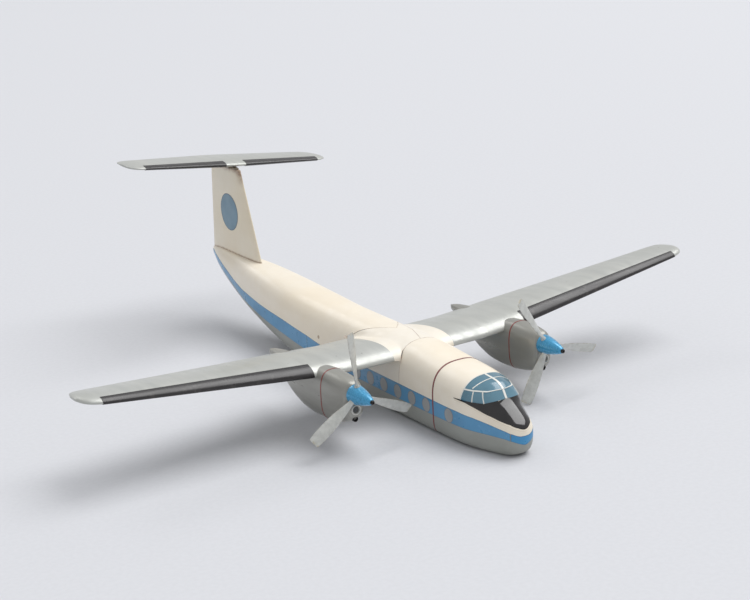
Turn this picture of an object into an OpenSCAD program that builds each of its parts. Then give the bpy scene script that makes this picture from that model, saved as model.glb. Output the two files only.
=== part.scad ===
// Desk display model of a high-wing, T-tailed, twin-turboprop transport aircraft.
// Frame: +Z up, nose towards -Y, +X to the aircraft's port side. The origin is the mouth of the
// stand socket in the flat of the belly. "Station" means the distance aft of the nose tip.

/* [Fuselage] */
// Station of the stand socket, which is the frame's origin
socket_station = 122; // [100:1:150]
// Width of a cabin window
window_w = 7.4; // [4:0.2:8]
// Height of a cabin window
window_h = 8.0; // [5:0.2:8.2]
// How far the outer faces of the applied films stand off the body: stripe, bands, boots
film = 0.35; // [0.3:0.05:0.5]

/* [Wing] */
// Distance from the centreline to the wing tip
semi_span = 196.6; // [190:0.5:205]
// Height of the wing's chord plane at the root
wing_z = 33.2; // [33:0.1:34]
// Dihedral of the starboard outer panel, in degrees
starboard_dihedral = 5.7; // [3:0.1:8]
// Dihedral of the port outer panel, which was set a little steeper when the model was glued
port_dihedral = 7.3; // [3:0.1:8]
// Radius of the spar rod that joins the two wings
spar_r = 1.5; // [1:0.1:1.8]

/* [Engines and propellers] */
// Distance from the centreline to a propeller axis
engine_x = 61.5; // [60:0.5:64]
// Height of the propeller axis
axis_z = 31.6; // [31:0.1:32.4]
// Radius of the propeller
prop_r = 34.2; // [28:0.2:34.4]
// Radius of the spinner at its base
spinner_r = 5.3; // [4.5:0.1:5.4]
// Radius of the pin that a propeller turns on
pin_r = 0.8; // [0.6:0.05:1]
// Radial clearance between a spinner and its pin
pin_gap = 0.05; // [0.02:0.01:0.1]
// Angle of the starboard propeller's first blade from upright
starboard_phase = -4.6; // [-60:0.1:60]
// Angle of the port propeller's first blade from upright
port_phase = -32.6; // [-60:0.1:60]
// How far the port propeller's second blade is bent out of its place, in degrees
bent_blade = 18; // [0:1:20]

/* [Tail] */
// Half-span of the tailplane
tail_semi_span = 69.5; // [60:0.5:75]
// Height of the tailplane
tail_z = 104.6; // [100:0.1:108]
// Tilt of the re-glued tailplane, starboard end up, in degrees
tail_tilt = 6.4; // [0:0.1:8]

/* [Stand socket] */
// Radius of the bore that takes the stand's rod
socket_bore_r = 2; // [1.5:0.1:2.5]
// Depth of the bore
socket_depth = 11; // [8:0.5:14]

/* [Hidden] */
$fn = 48;
// Gap left under the applied films, so that their flat facets clear the body's
film_gap = 0.2;
far = 400;

// Fuselage sections: station, half width, bottom, top, waist height, squareness above and below
HULL = [
    [0, 0.6, 9.5, 14.5, 12, 2.2, 2.2],
    [1.5, 5.2, 4.2, 17.6, 12, 2.3, 2.6],
    [4, 7.8, 1.4, 19.8, 12.5, 2.4, 3.2],
    [9, 9.6, 0, 23.2, 13.5, 2.3, 4.2],
    [15, 11.4, -0.3, 27.2, 15, 2.2, 5.2],
    [19, 12.8, -0.3, 33, 16, 2.1, 5.6],
    [24, 14.6, -0.3, 35.4, 17.5, 2.1, 5.8],
    [32, 16.6, -0.3, 36.2, 18.5, 2.4, 6],
    [43, 17.5, -0.3, 37.1, 19, 2.6, 6.4],
    [55, 17.6, -0.3, 37.9, 19.4, 2.7, 6.8],
    [90, 17.6, -0.3, 40.7, 19.8, 2.6, 7.2],
    [165, 17.6, -0.3, 41.3, 20, 2.5, 7],
    [195, 17.8, 1.2, 42.2, 22, 2.6, 4.8],
    [230, 16.8, 6.6, 43.6, 25, 2.8, 3.7],
    [265, 13.8, 13.6, 45.2, 29.5, 2.9, 3],
    [295, 9.6, 21.8, 45.8, 34.5, 2.6, 2.7],
    [320, 5.4, 31.6, 45.4, 39.5, 2.3, 2.4],
    [334, 1.2, 38.6, 44, 41.5, 2, 2]];
// Stations at which the fuselage is cut into rings
RINGS = [0, 0.6, 1.5, 2.6, 4, 6.2, 9, 12, 15, 17, 19, 21.5, 24, 28, 32, 37.5, 43, 55, 72, 90, 115, 140, 165,
    180, 195, 212, 230, 248, 265, 280, 295, 308, 320, 328, 334];
RING_POINTS = 40;

// Upper and lower edges of the blue stripe in side view: station, height
STRIPE_TOP = [[-2, 12], [0.4, 12.3], [2.2, 13.6], [5.3, 14.7], [10.7, 15.6], [16.8, 16.7], [24.7, 18.1],
    [36.8, 19.1], [59.6, 19.3], [91.8, 19.7], [172, 20.4], [188, 22.6], [216, 25.3], [250, 27.4], [277, 30],
    [291, 32.8], [306, 36.9], [321, 41], [336, 43]];
STRIPE_BOTTOM = [[-2, 6], [1.3, 7.4], [2.4, 9.7], [5.5, 10.5], [14.8, 10.6], [23.6, 10.8], [39.8, 11.1],
    [60.6, 10.9], [104, 10.8], [154, 11.3], [192, 13.5], [217, 16.3], [246, 19.3], [277, 23.4], [306, 31.6],
    [336, 41.6]];
NOSE_JOINT = 3;

// Seams of the wing root blocks in plan: distance from the centreline, station
ROOT_SEAM_FRONT = [[0, 93.2], [8, 92.6], [13, 91.8], [15.6, 89.6], [24, 89.4]];
ROOT_SEAM_AFT = [[24, 146], [17.6, 145], [15.1, 141.2], [12.4, 136.3], [8.8, 129.4], [5, 123], [0, 117]];
// Seam between the two blocks, which wanders to port as it runs aft
ROOT_SEAM_MIDDLE = [[8.8, 129.4], [6.3, 110.8], [3, 101.5]];
ROOT_X = 19.6;

WINDOW_Z = 14.9;
WINDOW_RAISE = 0.12;
WINDOW_STATIONS = concat([42.9], [for (i = [0:5]) 63.6 + 13.8 * i]);
BAND_STATION = 57.2;
BAND_W = 1.1;

// Wing outline: distance from the centreline, leading edge, trailing edge, height above and below chord
WING = [
    [ROOT_X, 89.8, 138.8, 5.8, 1.9],
    [40, 90.1, 139, 5.8, 1.9],
    [61.5, 90.4, 139.2, 5.8, 1.9],
    [69.2, 90.6, 138.6, 5.7, 1.8],
    [110, 92.6, 132.6, 4.8, 1.5],
    [150, 94.5, 127.1, 3.8, 1.2],
    [186.5, 96.3, 122.4, 2.8, 0.9],
    [192, 98.4, 121.2, 2.3, 0.8],
    [195, 101.4, 118.8, 1.7, 0.6],
    [semi_span, 106, 114, 0.8, 0.4]];
WING_BREAK = 61.5;
BREAK_RISE = 1.3;
LEVEL_X = 40;

// Tailplane outline: distance from the centreline, leading edge, trailing edge, half thickness
TAIL = [
    [0, 294, 334, 2],
    [7, 294.5, 333.6, 2],
    [61, 297.5, 328.4, 1.4],
    [66, 299.4, 326.4, 1.2],
    [68.6, 302.6, 323.4, 0.9],
    [tail_semi_span, 307, 318, 0.5]];

// Nacelle sections: station, half width, bottom, top
NACELLE = [
    [63.6, 5, 18.6, 37.2],
    [65.6, 6.1, 16.6, 38],
    [70, 7, 14.6, 38.9],
    [76, 7.6, 13.2, 39.4],
    [85, 7.9, 12, 39.6],
    [95, 7.9, 11.6, 38.8],
    [105, 7.7, 12.3, 38],
    [115, 7.3, 15, 37.4],
    [125, 6.5, 20, 36.8],
    [133, 5.4, 25, 36.2],
    [142, 3.9, 29.2, 35.4],
    [149, 2.2, 31, 34.4],
    [152.5, 0.8, 32, 33.4]];
NACELLE_SQUARE = 2.9;
NACELLE_BAND = 85;

PROP_STATION = 60.3;
SPINNER_BASE = 63.3;
SPINNER_TIP = 47.2;
SPINNER_NOSE_R = 1.4;
ROOT_PIN_R = 1.5;
ROOT_PIN_START = 2.2;
// Blade sections: distance from the axis as a share of the radius, chord, thickness, pitch in degrees
BLADE = [[0.17, 3, 2.4, 48], [0.21, 3.4, 1.7, 46], [0.3, 4.2, 1.4, 43], [0.5, 6, 1.2, 36],
    [0.75, 6.8, 1, 30], [0.94, 6.4, 0.8, 27], [0.985, 5.9, 0.75, 26.3], [1, 4.8, 0.6, 26]];

INTAKE_Z = 22.9;
INTAKE_R = 2.9;
INTAKE_FRONT = 62.6;
DRAIN_Z = 17.4;

FIN_BASE_Z = 43;
FIN_TOP_Z = 101.4;
FIN_HALF = 2.2;
EMBLEM_STATION = 306.3;
EMBLEM_Z = 72.3;
EMBLEM_R = 12;

// ---- shared functions ----

function sgn_pow(v, e) = sign(v) * pow(abs(v), e);

// Row of a table that holds x in its first column
function row_of(t, x, i = 0) = i >= len(t) - 2 || x < t[i + 1][0] ? i : row_of(t, x, i + 1);

// Slope of column c at row i, level where the column turns so that no value overshoots
function slope(t, c, i) =
    i == 0 ? (t[1][c] - t[0][c]) / (t[1][0] - t[0][0]) :
    i == len(t) - 1 ? (t[i][c] - t[i - 1][c]) / (t[i][0] - t[i - 1][0]) :
    let (h0 = t[i][0] - t[i - 1][0], h1 = t[i + 1][0] - t[i][0],
        d0 = (t[i][c] - t[i - 1][c]) / h0, d1 = (t[i + 1][c] - t[i][c]) / h1,
        w0 = 2 * h1 + h0, w1 = h1 + 2 * h0)
    d0 * d1 <= 0 ? 0 : (w0 + w1) / (w0 / d0 + w1 / d1);

// Smooth curve through column c of table t at x
function smooth(t, c, x) =
    let (i = row_of(t, x), h = t[i + 1][0] - t[i][0], u = (x - t[i][0]) / h)
    t[i][c] * (2 * u * u * u - 3 * u * u + 1) + slope(t, c, i) * h * (u * u * u - 2 * u * u + u)
    + t[i + 1][c] * (3 * u * u - 2 * u * u * u) + slope(t, c, i + 1) * h * (u * u * u - u * u);

function station_y(s) = s - socket_station;

// Closed fuselage ring at a station
function hull_ring(s) =
    let (w = smooth(HULL, 1, s), waist = smooth(HULL, 4, s),
        up = smooth(HULL, 3, s) - waist, down = waist - smooth(HULL, 2, s),
        nu = 2 / smooth(HULL, 5, s), nd = 2 / smooth(HULL, 6, s))
    [for (k = [0:RING_POINTS - 1]) let (a = 360 * k / RING_POINTS, e = sin(a) > 0 ? nu : nd)
        [w * sgn_pow(cos(a), e), station_y(s), waist + (sin(a) > 0 ? up : down) * sgn_pow(sin(a), e)]];

// Solid through rings of equal length, listed from -Y to +Y and turning from +X to +Z
module loft(rings) {
    n = len(rings[0]);
    m = len(rings);
    polyhedron(
        points = [for (r = rings) for (p = r) p],
        faces = concat(
            [[for (k = [n - 1:-1:0]) k]],
            [for (j = [0:m - 2]) for (k = [0:n - 1])
                [(j + 1) * n + (k + 1) % n, (j + 1) * n + k, j * n + k]],
            [for (j = [0:m - 2]) for (k = [0:n - 1])
                [j * n + (k + 1) % n, (j + 1) * n + (k + 1) % n, j * n + k]],
            [[for (k = [0:n - 1]) (m - 1) * n + k]]),
        convexity = 6);
}

// Half width of the fuselage at a station and height, grown outwards by g
function hull_x(s, z, g) =
    let (waist = smooth(HULL, 4, s), above = z > waist, n = smooth(HULL, above ? 5 : 6, s),
        reach = above ? smooth(HULL, 3, s) + g - waist : waist - smooth(HULL, 2, s) + g)
    (smooth(HULL, 1, s) + g) * pow(max(0, 1 - pow(min(1, abs(z - waist) / reach), n)), 1 / n);

// Point on the side of the fuselage, grown outwards by g, and forwards too near the nose tip
function hull_point(side, s, z, g) =
    [side * hull_x(s, z, g), station_y(s) - g * max(0, 1 - s / NOSE_JOINT), z];

// Line of points at a station from height z on the starboard side over the crown to the port side
CROWN_ANGLES = [for (a = [117:-9:63]) a];
function crown_arc(s, z, g) =
    let (w = smooth(HULL, 1, s) + g, waist = smooth(HULL, 4, s), up = smooth(HULL, 3, s) + g - waist,
        n = smooth(HULL, 5, s), edge = asin(pow(min(1, (z - waist) / up), n / 2)), side = min(edge, 62),
        angles = concat([for (k = [0:2]) 180 - side - (63 - side) * k / 3], CROWN_ANGLES,
            [for (k = [2:-1:0]) side + (63 - side) * k / 3]))
    [for (a = angles) [w * sgn_pow(cos(a), 2 / n), station_y(s), waist + up * pow(sin(a), 2 / n)]];

// Thin sheet between an outer and an inner grid of points. Rows run aft, and the points of a row
// climb on the starboard side or go over from starboard to port.
module sheet(outer, inner) {
    m = len(outer);
    n = len(outer[0]);
    b = m * n;
    rim = concat([for (k = [0:n - 1]) k], [for (j = [1:m - 1]) j * n + n - 1],
        [for (k = [n - 2:-1:0]) (m - 1) * n + k], [for (j = [m - 2:-1:1]) j * n]);
    polyhedron(
        points = concat([for (r = outer) for (p = r) p], [for (r = inner) for (p = r) p]),
        faces = concat(
            [for (j = [0:m - 2]) for (k = [0:n - 2]) let (a = j * n + k) [a, a + n, a + n + 1]],
            [for (j = [0:m - 2]) for (k = [0:n - 2]) let (a = j * n + k) [a, a + n + 1, a + 1]],
            [for (j = [0:m - 2]) for (k = [0:n - 2]) let (a = b + j * n + k) [a + n + 1, a + n, a]],
            [for (j = [0:m - 2]) for (k = [0:n - 2]) let (a = b + j * n + k) [a + 1, a + n + 1, a]],
            [for (i = [0:len(rim) - 1]) [rim[i], rim[(i + 1) % len(rim)], b + rim[(i + 1) % len(rim)]]],
            [for (i = [0:len(rim) - 1]) [rim[i], b + rim[(i + 1) % len(rim)], b + rim[i]]]),
        convexity = 4);
}

// Rows of a grid in the order that sheet() needs on that side
function turned(side, rows) = side > 0 ? [for (i = [len(rows) - 1:-1:0]) rows[i]] : rows;

// Fuselage between two stations
module hull_body(from = 0, to = 334)
    loft([for (s = RINGS) if (s >= from && s <= to) hull_ring(s)]);

// Prism along X from a side-view outline of [station, height]
module side_prism(outline, from = -far, to = far)
    translate([from, 0, 0]) rotate([90, 0, 90]) linear_extrude(to - from)
        polygon([for (p = outline) [station_y(p[0]), p[1]]]);

// Prism along Z from a plan-view outline of [x, station]
module plan_prism(outline, from, to)
    translate([0, 0, from]) linear_extrude(to - from)
        polygon([for (p = outline) [p[0], station_y(p[1])]]);

// Everything above, or below, the waterline where the fuselage halves meet
module above_waterline()
    side_prism(concat(STRIPE_TOP, [[336, far], [-2, far]]));
module below_waterline()
    side_prism(concat(STRIPE_TOP, [[336, 0], [-2, 0]]));

module slab(s0, s1, z0 = -far, z1 = far, x0 = -far, x1 = far)
    translate([x0, station_y(s0), z0]) cube([x1 - x0, s1 - s0, z1 - z0]);

// ---- fuselage ----

module lower_body()
    color([0.56, 0.56, 0.54]) difference() {
        intersection() {
            hull_body();
            below_waterline();
        }
        cylinder(r = socket_bore_r + 1.2, h = 2 * (socket_depth + 1), center = true);
    }

module forward_upper_body()
    color([0.95, 0.92, 0.85]) intersection() {
        hull_body(0, 115);
        above_waterline();
        plan_prism(concat([for (p = ROOT_SEAM_FRONT) [-p[0], p[1]]], [[-24, -5], [24, -5]],
            [for (i = [len(ROOT_SEAM_FRONT) - 1:-1:1]) ROOT_SEAM_FRONT[i]]), 0, 60);
    }

module aft_upper_body()
    color([0.95, 0.92, 0.85]) difference() {
        intersection() {
            hull_body(115, 334);
            above_waterline();
            plan_prism(concat(ROOT_SEAM_AFT, [for (i = [len(ROOT_SEAM_AFT) - 2:-1:0])
                [-ROOT_SEAM_AFT[i][0], ROOT_SEAM_AFT[i][1]]], [[-24, 340], [24, 340]]), 0, 60);
        }
        dowel_rod();
    }

STARBOARD_ROOT_PLAN = concat([for (p = concat(ROOT_SEAM_FRONT, ROOT_SEAM_AFT)) [-p[0], p[1]]], [[5, 123]],
    ROOT_SEAM_MIDDLE);
PORT_ROOT_PLAN = concat(ROOT_SEAM_FRONT, [for (p = ROOT_SEAM_AFT) if (p[0] > 8.8) p], ROOT_SEAM_MIDDLE);

// Wing root block of one side: -1 starboard, 1 port
module wing_root(side)
    color([0.97, 0.94, 0.87]) difference() {
        intersection() {
            union() {
                hull_body(72, 165);
                loft([wing_section(WING[0], 1), wing_section(WING[0], -1)]);
            }
            above_waterline();
            plan_prism(side < 0 ? STARBOARD_ROOT_PLAN : PORT_ROOT_PLAN, 0, 60);
        }
        spar_rod();
    }
module starboard_wing_root() wing_root(-1);
module port_wing_root() wing_root(1);

// ---- wing ----

function dihedral(side) = side < 0 ? starboard_dihedral : port_dihedral;

function wing_rise(x, side) =
    x < LEVEL_X ? wing_z :
    x < WING_BREAK ? wing_z + BREAK_RISE * (x - LEVEL_X) / (WING_BREAK - LEVEL_X) :
    wing_z + BREAK_RISE + (x - WING_BREAK) * tan(dihedral(side));

// Height of an aerofoil's surface over its chord, as a share of its greatest height
function foil(u) =
    1.01 * (2.969 * sqrt(u) - 1.26 * u - 3.516 * u * u + 2.843 * pow(u, 3) - 1.036 * pow(u, 4));

FOIL_STEPS = 12;
FOIL_U = [for (k = [0:FOIL_STEPS]) (1 - cos(180 * k / FOIL_STEPS)) / 2];
EDGE_HALF = 0.2;

// Aerofoil points [chordwise share, height], from the trailing edge over the top to the underside
function foil_points(up, down, from = FOIL_STEPS, to = FOIL_STEPS) = concat(
    [for (k = [from:-1:0]) [FOIL_U[k], up * foil(FOIL_U[k]) + EDGE_HALF * FOIL_U[k]]],
    [for (k = [1:to]) [FOIL_U[k], -down * foil(FOIL_U[k]) - EDGE_HALF * FOIL_U[k]]]);

// Wing section of row w, grown outwards by g, with the points from..to steps behind the leading edge
function wing_section(w, side, g = 0, from = FOIL_STEPS, to = FOIL_STEPS) =
    [for (p = foil_points(w[3] + g, w[4] + g, from, to))
        [side * w[0], station_y(w[1] + (w[2] - w[1]) * p[0] - g * (1 - p[0])),
            wing_rise(w[0], side) + p[1]]];

// Turns a list of sections that runs along X into the order that loft() needs for that side
module span_loft(sections, side)
    loft(side > 0 ? [for (i = [len(sections) - 1:-1:0]) sections[i]] : sections);

module wing_loft(side, from, to)
    span_loft([for (w = WING) if (w[0] >= from && w[0] <= to) wing_section(w, side)], side);

module spar_rod()
    translate([0, station_y(106), wing_z + 2.2]) rotate([0, 90, 0])
        cylinder(r = spar_r, h = 90, center = true);

module wing_spar() color([0.72, 0.56, 0.36]) spar_rod();

module wing(side)
    color([0.74, 0.75, 0.74]) difference() {
        wing_loft(side, ROOT_X, semi_span);
        spar_rod();
    }
module starboard_wing() wing(-1);
module port_wing() wing(1);

// De-icing boot: a film wrapped round the leading edge
BOOT_TOP = 3;
BOOT_UNDER = 2;
function boot_rows(side, g) = turned(-side,
    [for (w = WING) if (w[0] > 69 && w[0] < 187) wing_section(w, side, g, BOOT_TOP, BOOT_UNDER)]);
module wing_boot(side) color([0.16, 0.15, 0.15]) sheet(boot_rows(side, film), boot_rows(side, film_gap));
module starboard_wing_boot() wing_boot(-1);
module port_wing_boot() wing_boot(1);

// ---- nacelles ----

function nacelle_ring(s, side, g = 0) =
    let (w = smooth(NACELLE, 1, s) + g, low = smooth(NACELLE, 2, s) - g, top = smooth(NACELLE, 3, s) + g,
        mid = (low + top) / 2, half = (top - low) / 2, e = 2 / NACELLE_SQUARE)
    [for (k = [0:31]) let (a = 360 * k / 32)
        [side * engine_x + w * sgn_pow(cos(a), e), station_y(s), mid + half * sgn_pow(sin(a), e)]];

module nacelle(side)
    color([0.72, 0.73, 0.72]) difference() {
        loft([for (r = NACELLE) nacelle_ring(r[0], side)]);
        wing_loft(side, 40, 110);
        pin_rod(side);
        intake_hole(side);
        drain_rod(side, 0);
    }
module starboard_nacelle() nacelle(-1);
module port_nacelle() nacelle(1);

// Hoop between an outer and an inner tube of rings
module hoop(outer, inner) {
    n = len(outer[0]);
    quads = concat(
        [for (k = [0:n - 1]) let (l = (k + 1) % n) [k, n + k, n + l, l]],
        [for (k = [0:n - 1]) let (l = (k + 1) % n) [2 * n + l, 3 * n + l, 3 * n + k, 2 * n + k]],
        [for (k = [0:n - 1]) let (l = (k + 1) % n) [k, l, 2 * n + l, 2 * n + k]],
        [for (k = [0:n - 1]) let (l = (k + 1) % n) [n + l, n + k, 3 * n + k, 3 * n + l]]);
    polyhedron(points = [for (r = concat(outer, inner)) for (p = r) p],
        faces = [for (q = quads) each [[q[2], q[1], q[0]], [q[3], q[2], q[0]]]], convexity = 4);
}

module nacelle_band(side) {
    ends = [NACELLE_BAND - 0.4, NACELLE_BAND + 0.4];
    color([0.55, 0.2, 0.18])
        hoop([for (s = ends) nacelle_ring(s, side, film)], [for (s = ends) nacelle_ring(s, side)]);
}
module starboard_nacelle_band() nacelle_band(-1);
module port_nacelle_band() nacelle_band(1);

// Puts a child that stands on Z on a forward-facing axis at a station and height on the nacelle
module facing_forward(side, s, z)
    translate([side * engine_x, station_y(s), z]) rotate([90, 0, 0]) children();

module intake_hole(side)
    facing_forward(side, 66.5, INTAKE_Z) cylinder(r = INTAKE_R, h = 8);

module intake_lip(side)
    color([0.8, 0.8, 0.78]) facing_forward(side, 66.5, INTAKE_Z) difference() {
        cylinder(r = INTAKE_R, h = 66.5 - INTAKE_FRONT);
        translate([0, 0, 2.6]) cylinder(r = INTAKE_R - 0.8, h = 4);
    }
module starboard_intake_lip() intake_lip(-1);
module port_intake_lip() intake_lip(1);

module intake_mesh(side)
    color([0.35, 0.35, 0.35]) facing_forward(side, 63.9, INTAKE_Z) cylinder(r = INTAKE_R - 0.8, h = 0.6);
module starboard_intake_mesh() intake_mesh(-1);
module port_intake_mesh() intake_mesh(1);

module drain_rod(side, wall)
    facing_forward(side, 70, DRAIN_Z) difference() {
        cylinder(r = 1.5, h = 6.2);
        if (wall > 0) translate([0, 0, 4]) cylinder(r = 1.5 - wall, h = 4);
    }
module drain_pipe(side) color([0.1, 0.1, 0.1]) drain_rod(side, 0.4);
module starboard_drain_pipe() drain_pipe(-1);
module port_drain_pipe() drain_pipe(1);

// ---- propellers ----

PIN_TAIL = 72;
PIN_HEAD_R = 1.25;
PIN_HEAD_GAP = 0.15;

module pin_rod(side)
    facing_forward(side, PIN_TAIL, axis_z) cylinder(r = pin_r, h = PIN_TAIL - SPINNER_TIP + 0.5);

// Fixed pin with a domed head that keeps the propeller on
module prop_pin(side)
    color([0.3, 0.3, 0.3]) {
        pin_rod(side);
        facing_forward(side, SPINNER_TIP - PIN_HEAD_GAP, axis_z) rotate_extrude()
            polygon(concat([[0, 0], [PIN_HEAD_R, 0]],
                [for (a = [0:15:75]) [PIN_HEAD_R * cos(a), 0.5 + 0.7 * sin(a)]], [[0, 1.2]]));
    }
module starboard_prop_pin() prop_pin(-1);
module port_prop_pin() prop_pin(1);

function blade_angle(side, i) =
    (side < 0 ? starboard_phase : port_phase) + 120 * i + (side > 0 && i == 1 ? bent_blade : 0);

// Stands a child that rises along Z in the place of one blade
module at_blade(side, i)
    translate([side * engine_x, station_y(PROP_STATION), axis_z]) rotate([0, blade_angle(side, i), 0])
        children();

module blade_root() translate([0, 0, ROOT_PIN_START]) cylinder(r = ROOT_PIN_R, h = 4.2);

function spinner_outline(u) = SPINNER_NOSE_R + (spinner_r - SPINNER_NOSE_R) * pow(1 - pow(u, 1.5), 0.85);

module spinner(side)
    color([0.32, 0.64, 0.8]) difference() {
        facing_forward(side, SPINNER_BASE, axis_z) rotate_extrude()
            polygon(concat([[pin_r + pin_gap, 0]],
                [for (u = [0:0.1:1]) [spinner_outline(u), u * (SPINNER_BASE - SPINNER_TIP)]],
                [[pin_r + pin_gap, SPINNER_BASE - SPINNER_TIP]]));
        for (i = [0:2]) at_blade(side, i) blade_root();
    }
module starboard_spinner() spinner(-1);
module port_spinner() spinner(1);

function blade_ring(r, chord, thick, pitch) =
    [for (k = [0:15]) let (a = 360 * k / 16, c = chord / 2 * cos(a), t = -thick / 2 * sin(a))
        [c * cos(pitch) - t * sin(pitch), c * sin(pitch) + t * cos(pitch), r]];

module blade(side, i)
    color([0.8, 0.8, 0.79]) at_blade(side, i)
        loft(concat([for (r = [ROOT_PIN_START, 5.2]) blade_ring(r, 2 * ROOT_PIN_R, 2 * ROOT_PIN_R, 48)],
            [for (b = BLADE) blade_ring(b[0] * prop_r, b[1], b[2], b[3])]));
module starboard_blade_1() blade(-1, 0);
module starboard_blade_2() blade(-1, 1);
module starboard_blade_3() blade(-1, 2);
module port_blade_1() blade(1, 0);
module port_blade_2() blade(1, 1);
module port_blade_3() blade(1, 2);

// ---- tail ----

function fin_share(z) = (z - 45) / (FIN_TOP_Z - 45);

function fin_lead(z) = 270.4 + 20 * fin_share(z);
function fin_trail(z) = 333.6 - 4.6 * fin_share(z);
function fin_half(z) = FIN_HALF - 0.6 * fin_share(z);

function fin_section(z) =
    let (lead = fin_lead(z), trail = fin_trail(z), half = fin_half(z), outline = foil_points(half, half))
    [for (p = outline) [p[1], station_y(lead + (trail - lead) * p[0]), z]];

module fin_loft() loft([fin_section(FIN_BASE_Z), fin_section(FIN_TOP_Z)]);

module dowel_rod() translate([0, station_y(300), 37.5]) cylinder(r = 1.2, h = 24);
module fin_dowel() color([0.72, 0.56, 0.36]) dowel_rod();

module tail_pin_rod() translate([0, station_y(306), 90]) cylinder(r = 0.8, h = 14.2);
module tail_pin() color([0.45, 0.42, 0.4]) tail_pin_rod();

module fin()
    color([0.93, 0.88, 0.78]) difference() {
        fin_loft();
        hull_body(248, 334);
        dowel_rod();
        tail_pin_rod();
    }

// Half thickness of the fin at a station and height, grown outwards by g
function fin_x(s, z, g) =
    let (u = (s - fin_lead(z)) / (fin_trail(z) - fin_lead(z)))
    fin_half(z) * foil(u) + EDGE_HALF * u + g;

function roundel_rows(side, g) = turned(side,
    [for (a = [170:-16:10]) let (s = EMBLEM_STATION + EMBLEM_R * cos(a), h = EMBLEM_R * sin(a))
        [for (z = [EMBLEM_Z - h, EMBLEM_Z, EMBLEM_Z + h]) [side * fin_x(s, z, g), station_y(s), z]]]);

module fin_roundels()
    color([0.39, 0.53, 0.61])
        for (side = [-1, 1]) sheet(roundel_rows(side, film), roundel_rows(side, film_gap));

// Tailplane section of row w, about the tailplane's own middle
function tail_section(w, side, g = 0, from = FOIL_STEPS, to = FOIL_STEPS) =
    [for (p = foil_points(w[3] + g, w[3] + g, from, to))
        [side * w[0], station_y(w[1] + (w[2] - w[1]) * p[0] - g * (1 - p[0])), p[1]]];

module tilted() translate([0, 0, tail_z]) rotate([0, tail_tilt, 0]) children();

module tail_loft()
    tilted() loft(concat([for (i = [len(TAIL) - 1:-1:0]) tail_section(TAIL[i], 1)],
        [for (i = [1:len(TAIL) - 1]) tail_section(TAIL[i], -1)]));

module tailplane()
    color([0.74, 0.75, 0.74]) difference() {
        tail_loft();
        tail_pin_rod();
    }

function tail_boot_rows(side, g) = turned(-side,
    [for (w = TAIL) if (w[0] >= 7 && w[0] <= 61) tail_section(w, side, g, BOOT_TOP, BOOT_TOP)]);
module tail_boot(side)
    color([0.16, 0.15, 0.15]) tilted() sheet(tail_boot_rows(side, film), tail_boot_rows(side, film_gap));
module starboard_tail_boot() tail_boot(-1);
module port_tail_boot() tail_boot(1);

// Bead of hardened glue between the fin and the tailplane
module tail_joint_glue()
    color([0.5, 0.4, 0.3]) difference() {
        translate([0, 0, 100.2]) linear_extrude(3.4)
            polygon([for (a = [0:15:345]) [2.7 * cos(a), station_y(304.5) + 12 * sin(a)]]);
        fin_loft();
        tail_loft();
        tail_pin_rod();
    }

// ---- applied films ----

// Height of a side-view line at a station
function line_z(t, s) =
    let (i = row_of(t, s), u = (s - t[i][0]) / (t[i + 1][0] - t[i][0]))
    t[i][1] + (t[i + 1][1] - t[i][1]) * u;

// Points that climb the side of the fuselage at a station, from one edge of the stripe to the other
function stripe_column(side, s, g) =
    let (low = max(line_z(STRIPE_BOTTOM, s), smooth(HULL, 2, s) + 0.3), high = line_z(STRIPE_TOP, s))
    [for (u = [0, 0.5, 1]) hull_point(side, s, low + (high - low) * u, g)];

function stripe_rows(side, stations, g) = turned(side, [for (s = stations) stripe_column(side, s, g)]);

NOSE_STATIONS = [0, 0.6, 1.5, NOSE_JOINT];
function nose_rows(g) = concat(
    [for (i = [3:-1:0]) stripe_column(1, NOSE_STATIONS[i], g)],
    [for (s = NOSE_STATIONS) stripe_column(-1, s, g)]);

module nose_stripe() color([0.2, 0.53, 0.72]) sheet(nose_rows(film), nose_rows(film_gap));

BAND_FRONT = BAND_STATION - BAND_W / 2;
BAND_REAR = BAND_STATION + BAND_W / 2;

module side_stripe(side)
    color([0.3, 0.53, 0.72])
        for (run = [[NOSE_JOINT + 0.2, BAND_FRONT], [BAND_REAR, 333]]) {
            inner_rings = [for (s = RINGS) if (s > run[0] + 0.5 && s < run[1] - 0.5) s];
            stations = concat([run[0]], inner_rings, [run[1]]);
            sheet(stripe_rows(side, stations, film), stripe_rows(side, stations, film_gap));
        }
module starboard_stripe() side_stripe(-1);
module port_stripe() side_stripe(1);

function band_rows(g) =
    [for (s = [BAND_FRONT, BAND_REAR]) concat(
        [for (z = [0.5, 2, 5, 10, 16, 22]) hull_point(-1, s, z, g)],
        crown_arc(s, 27, g),
        [for (z = [22, 16, 10, 5, 2, 0.5]) hull_point(1, s, z, g)])];
module body_band() color([0.55, 0.2, 0.18]) sheet(band_rows(film), band_rows(film_gap));

// Cabin windows lie on the stripe
function window_rows(side, s0, g) = turned(side,
    [for (a = [168:-19.5:12]) let (s = s0 + window_w / 2 * cos(a), h = window_h / 2 * sin(a))
        [for (z = [WINDOW_Z - h, WINDOW_Z, WINDOW_Z + h]) hull_point(side, s, z, g)]]);
module cabin_windows(side)
    color([0.6, 0.61, 0.62])
        for (s = WINDOW_STATIONS)
            sheet(window_rows(side, s, film + WINDOW_RAISE), window_rows(side, s, film));
module starboard_windows() cabin_windows(-1);
module port_windows() cabin_windows(1);

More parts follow.
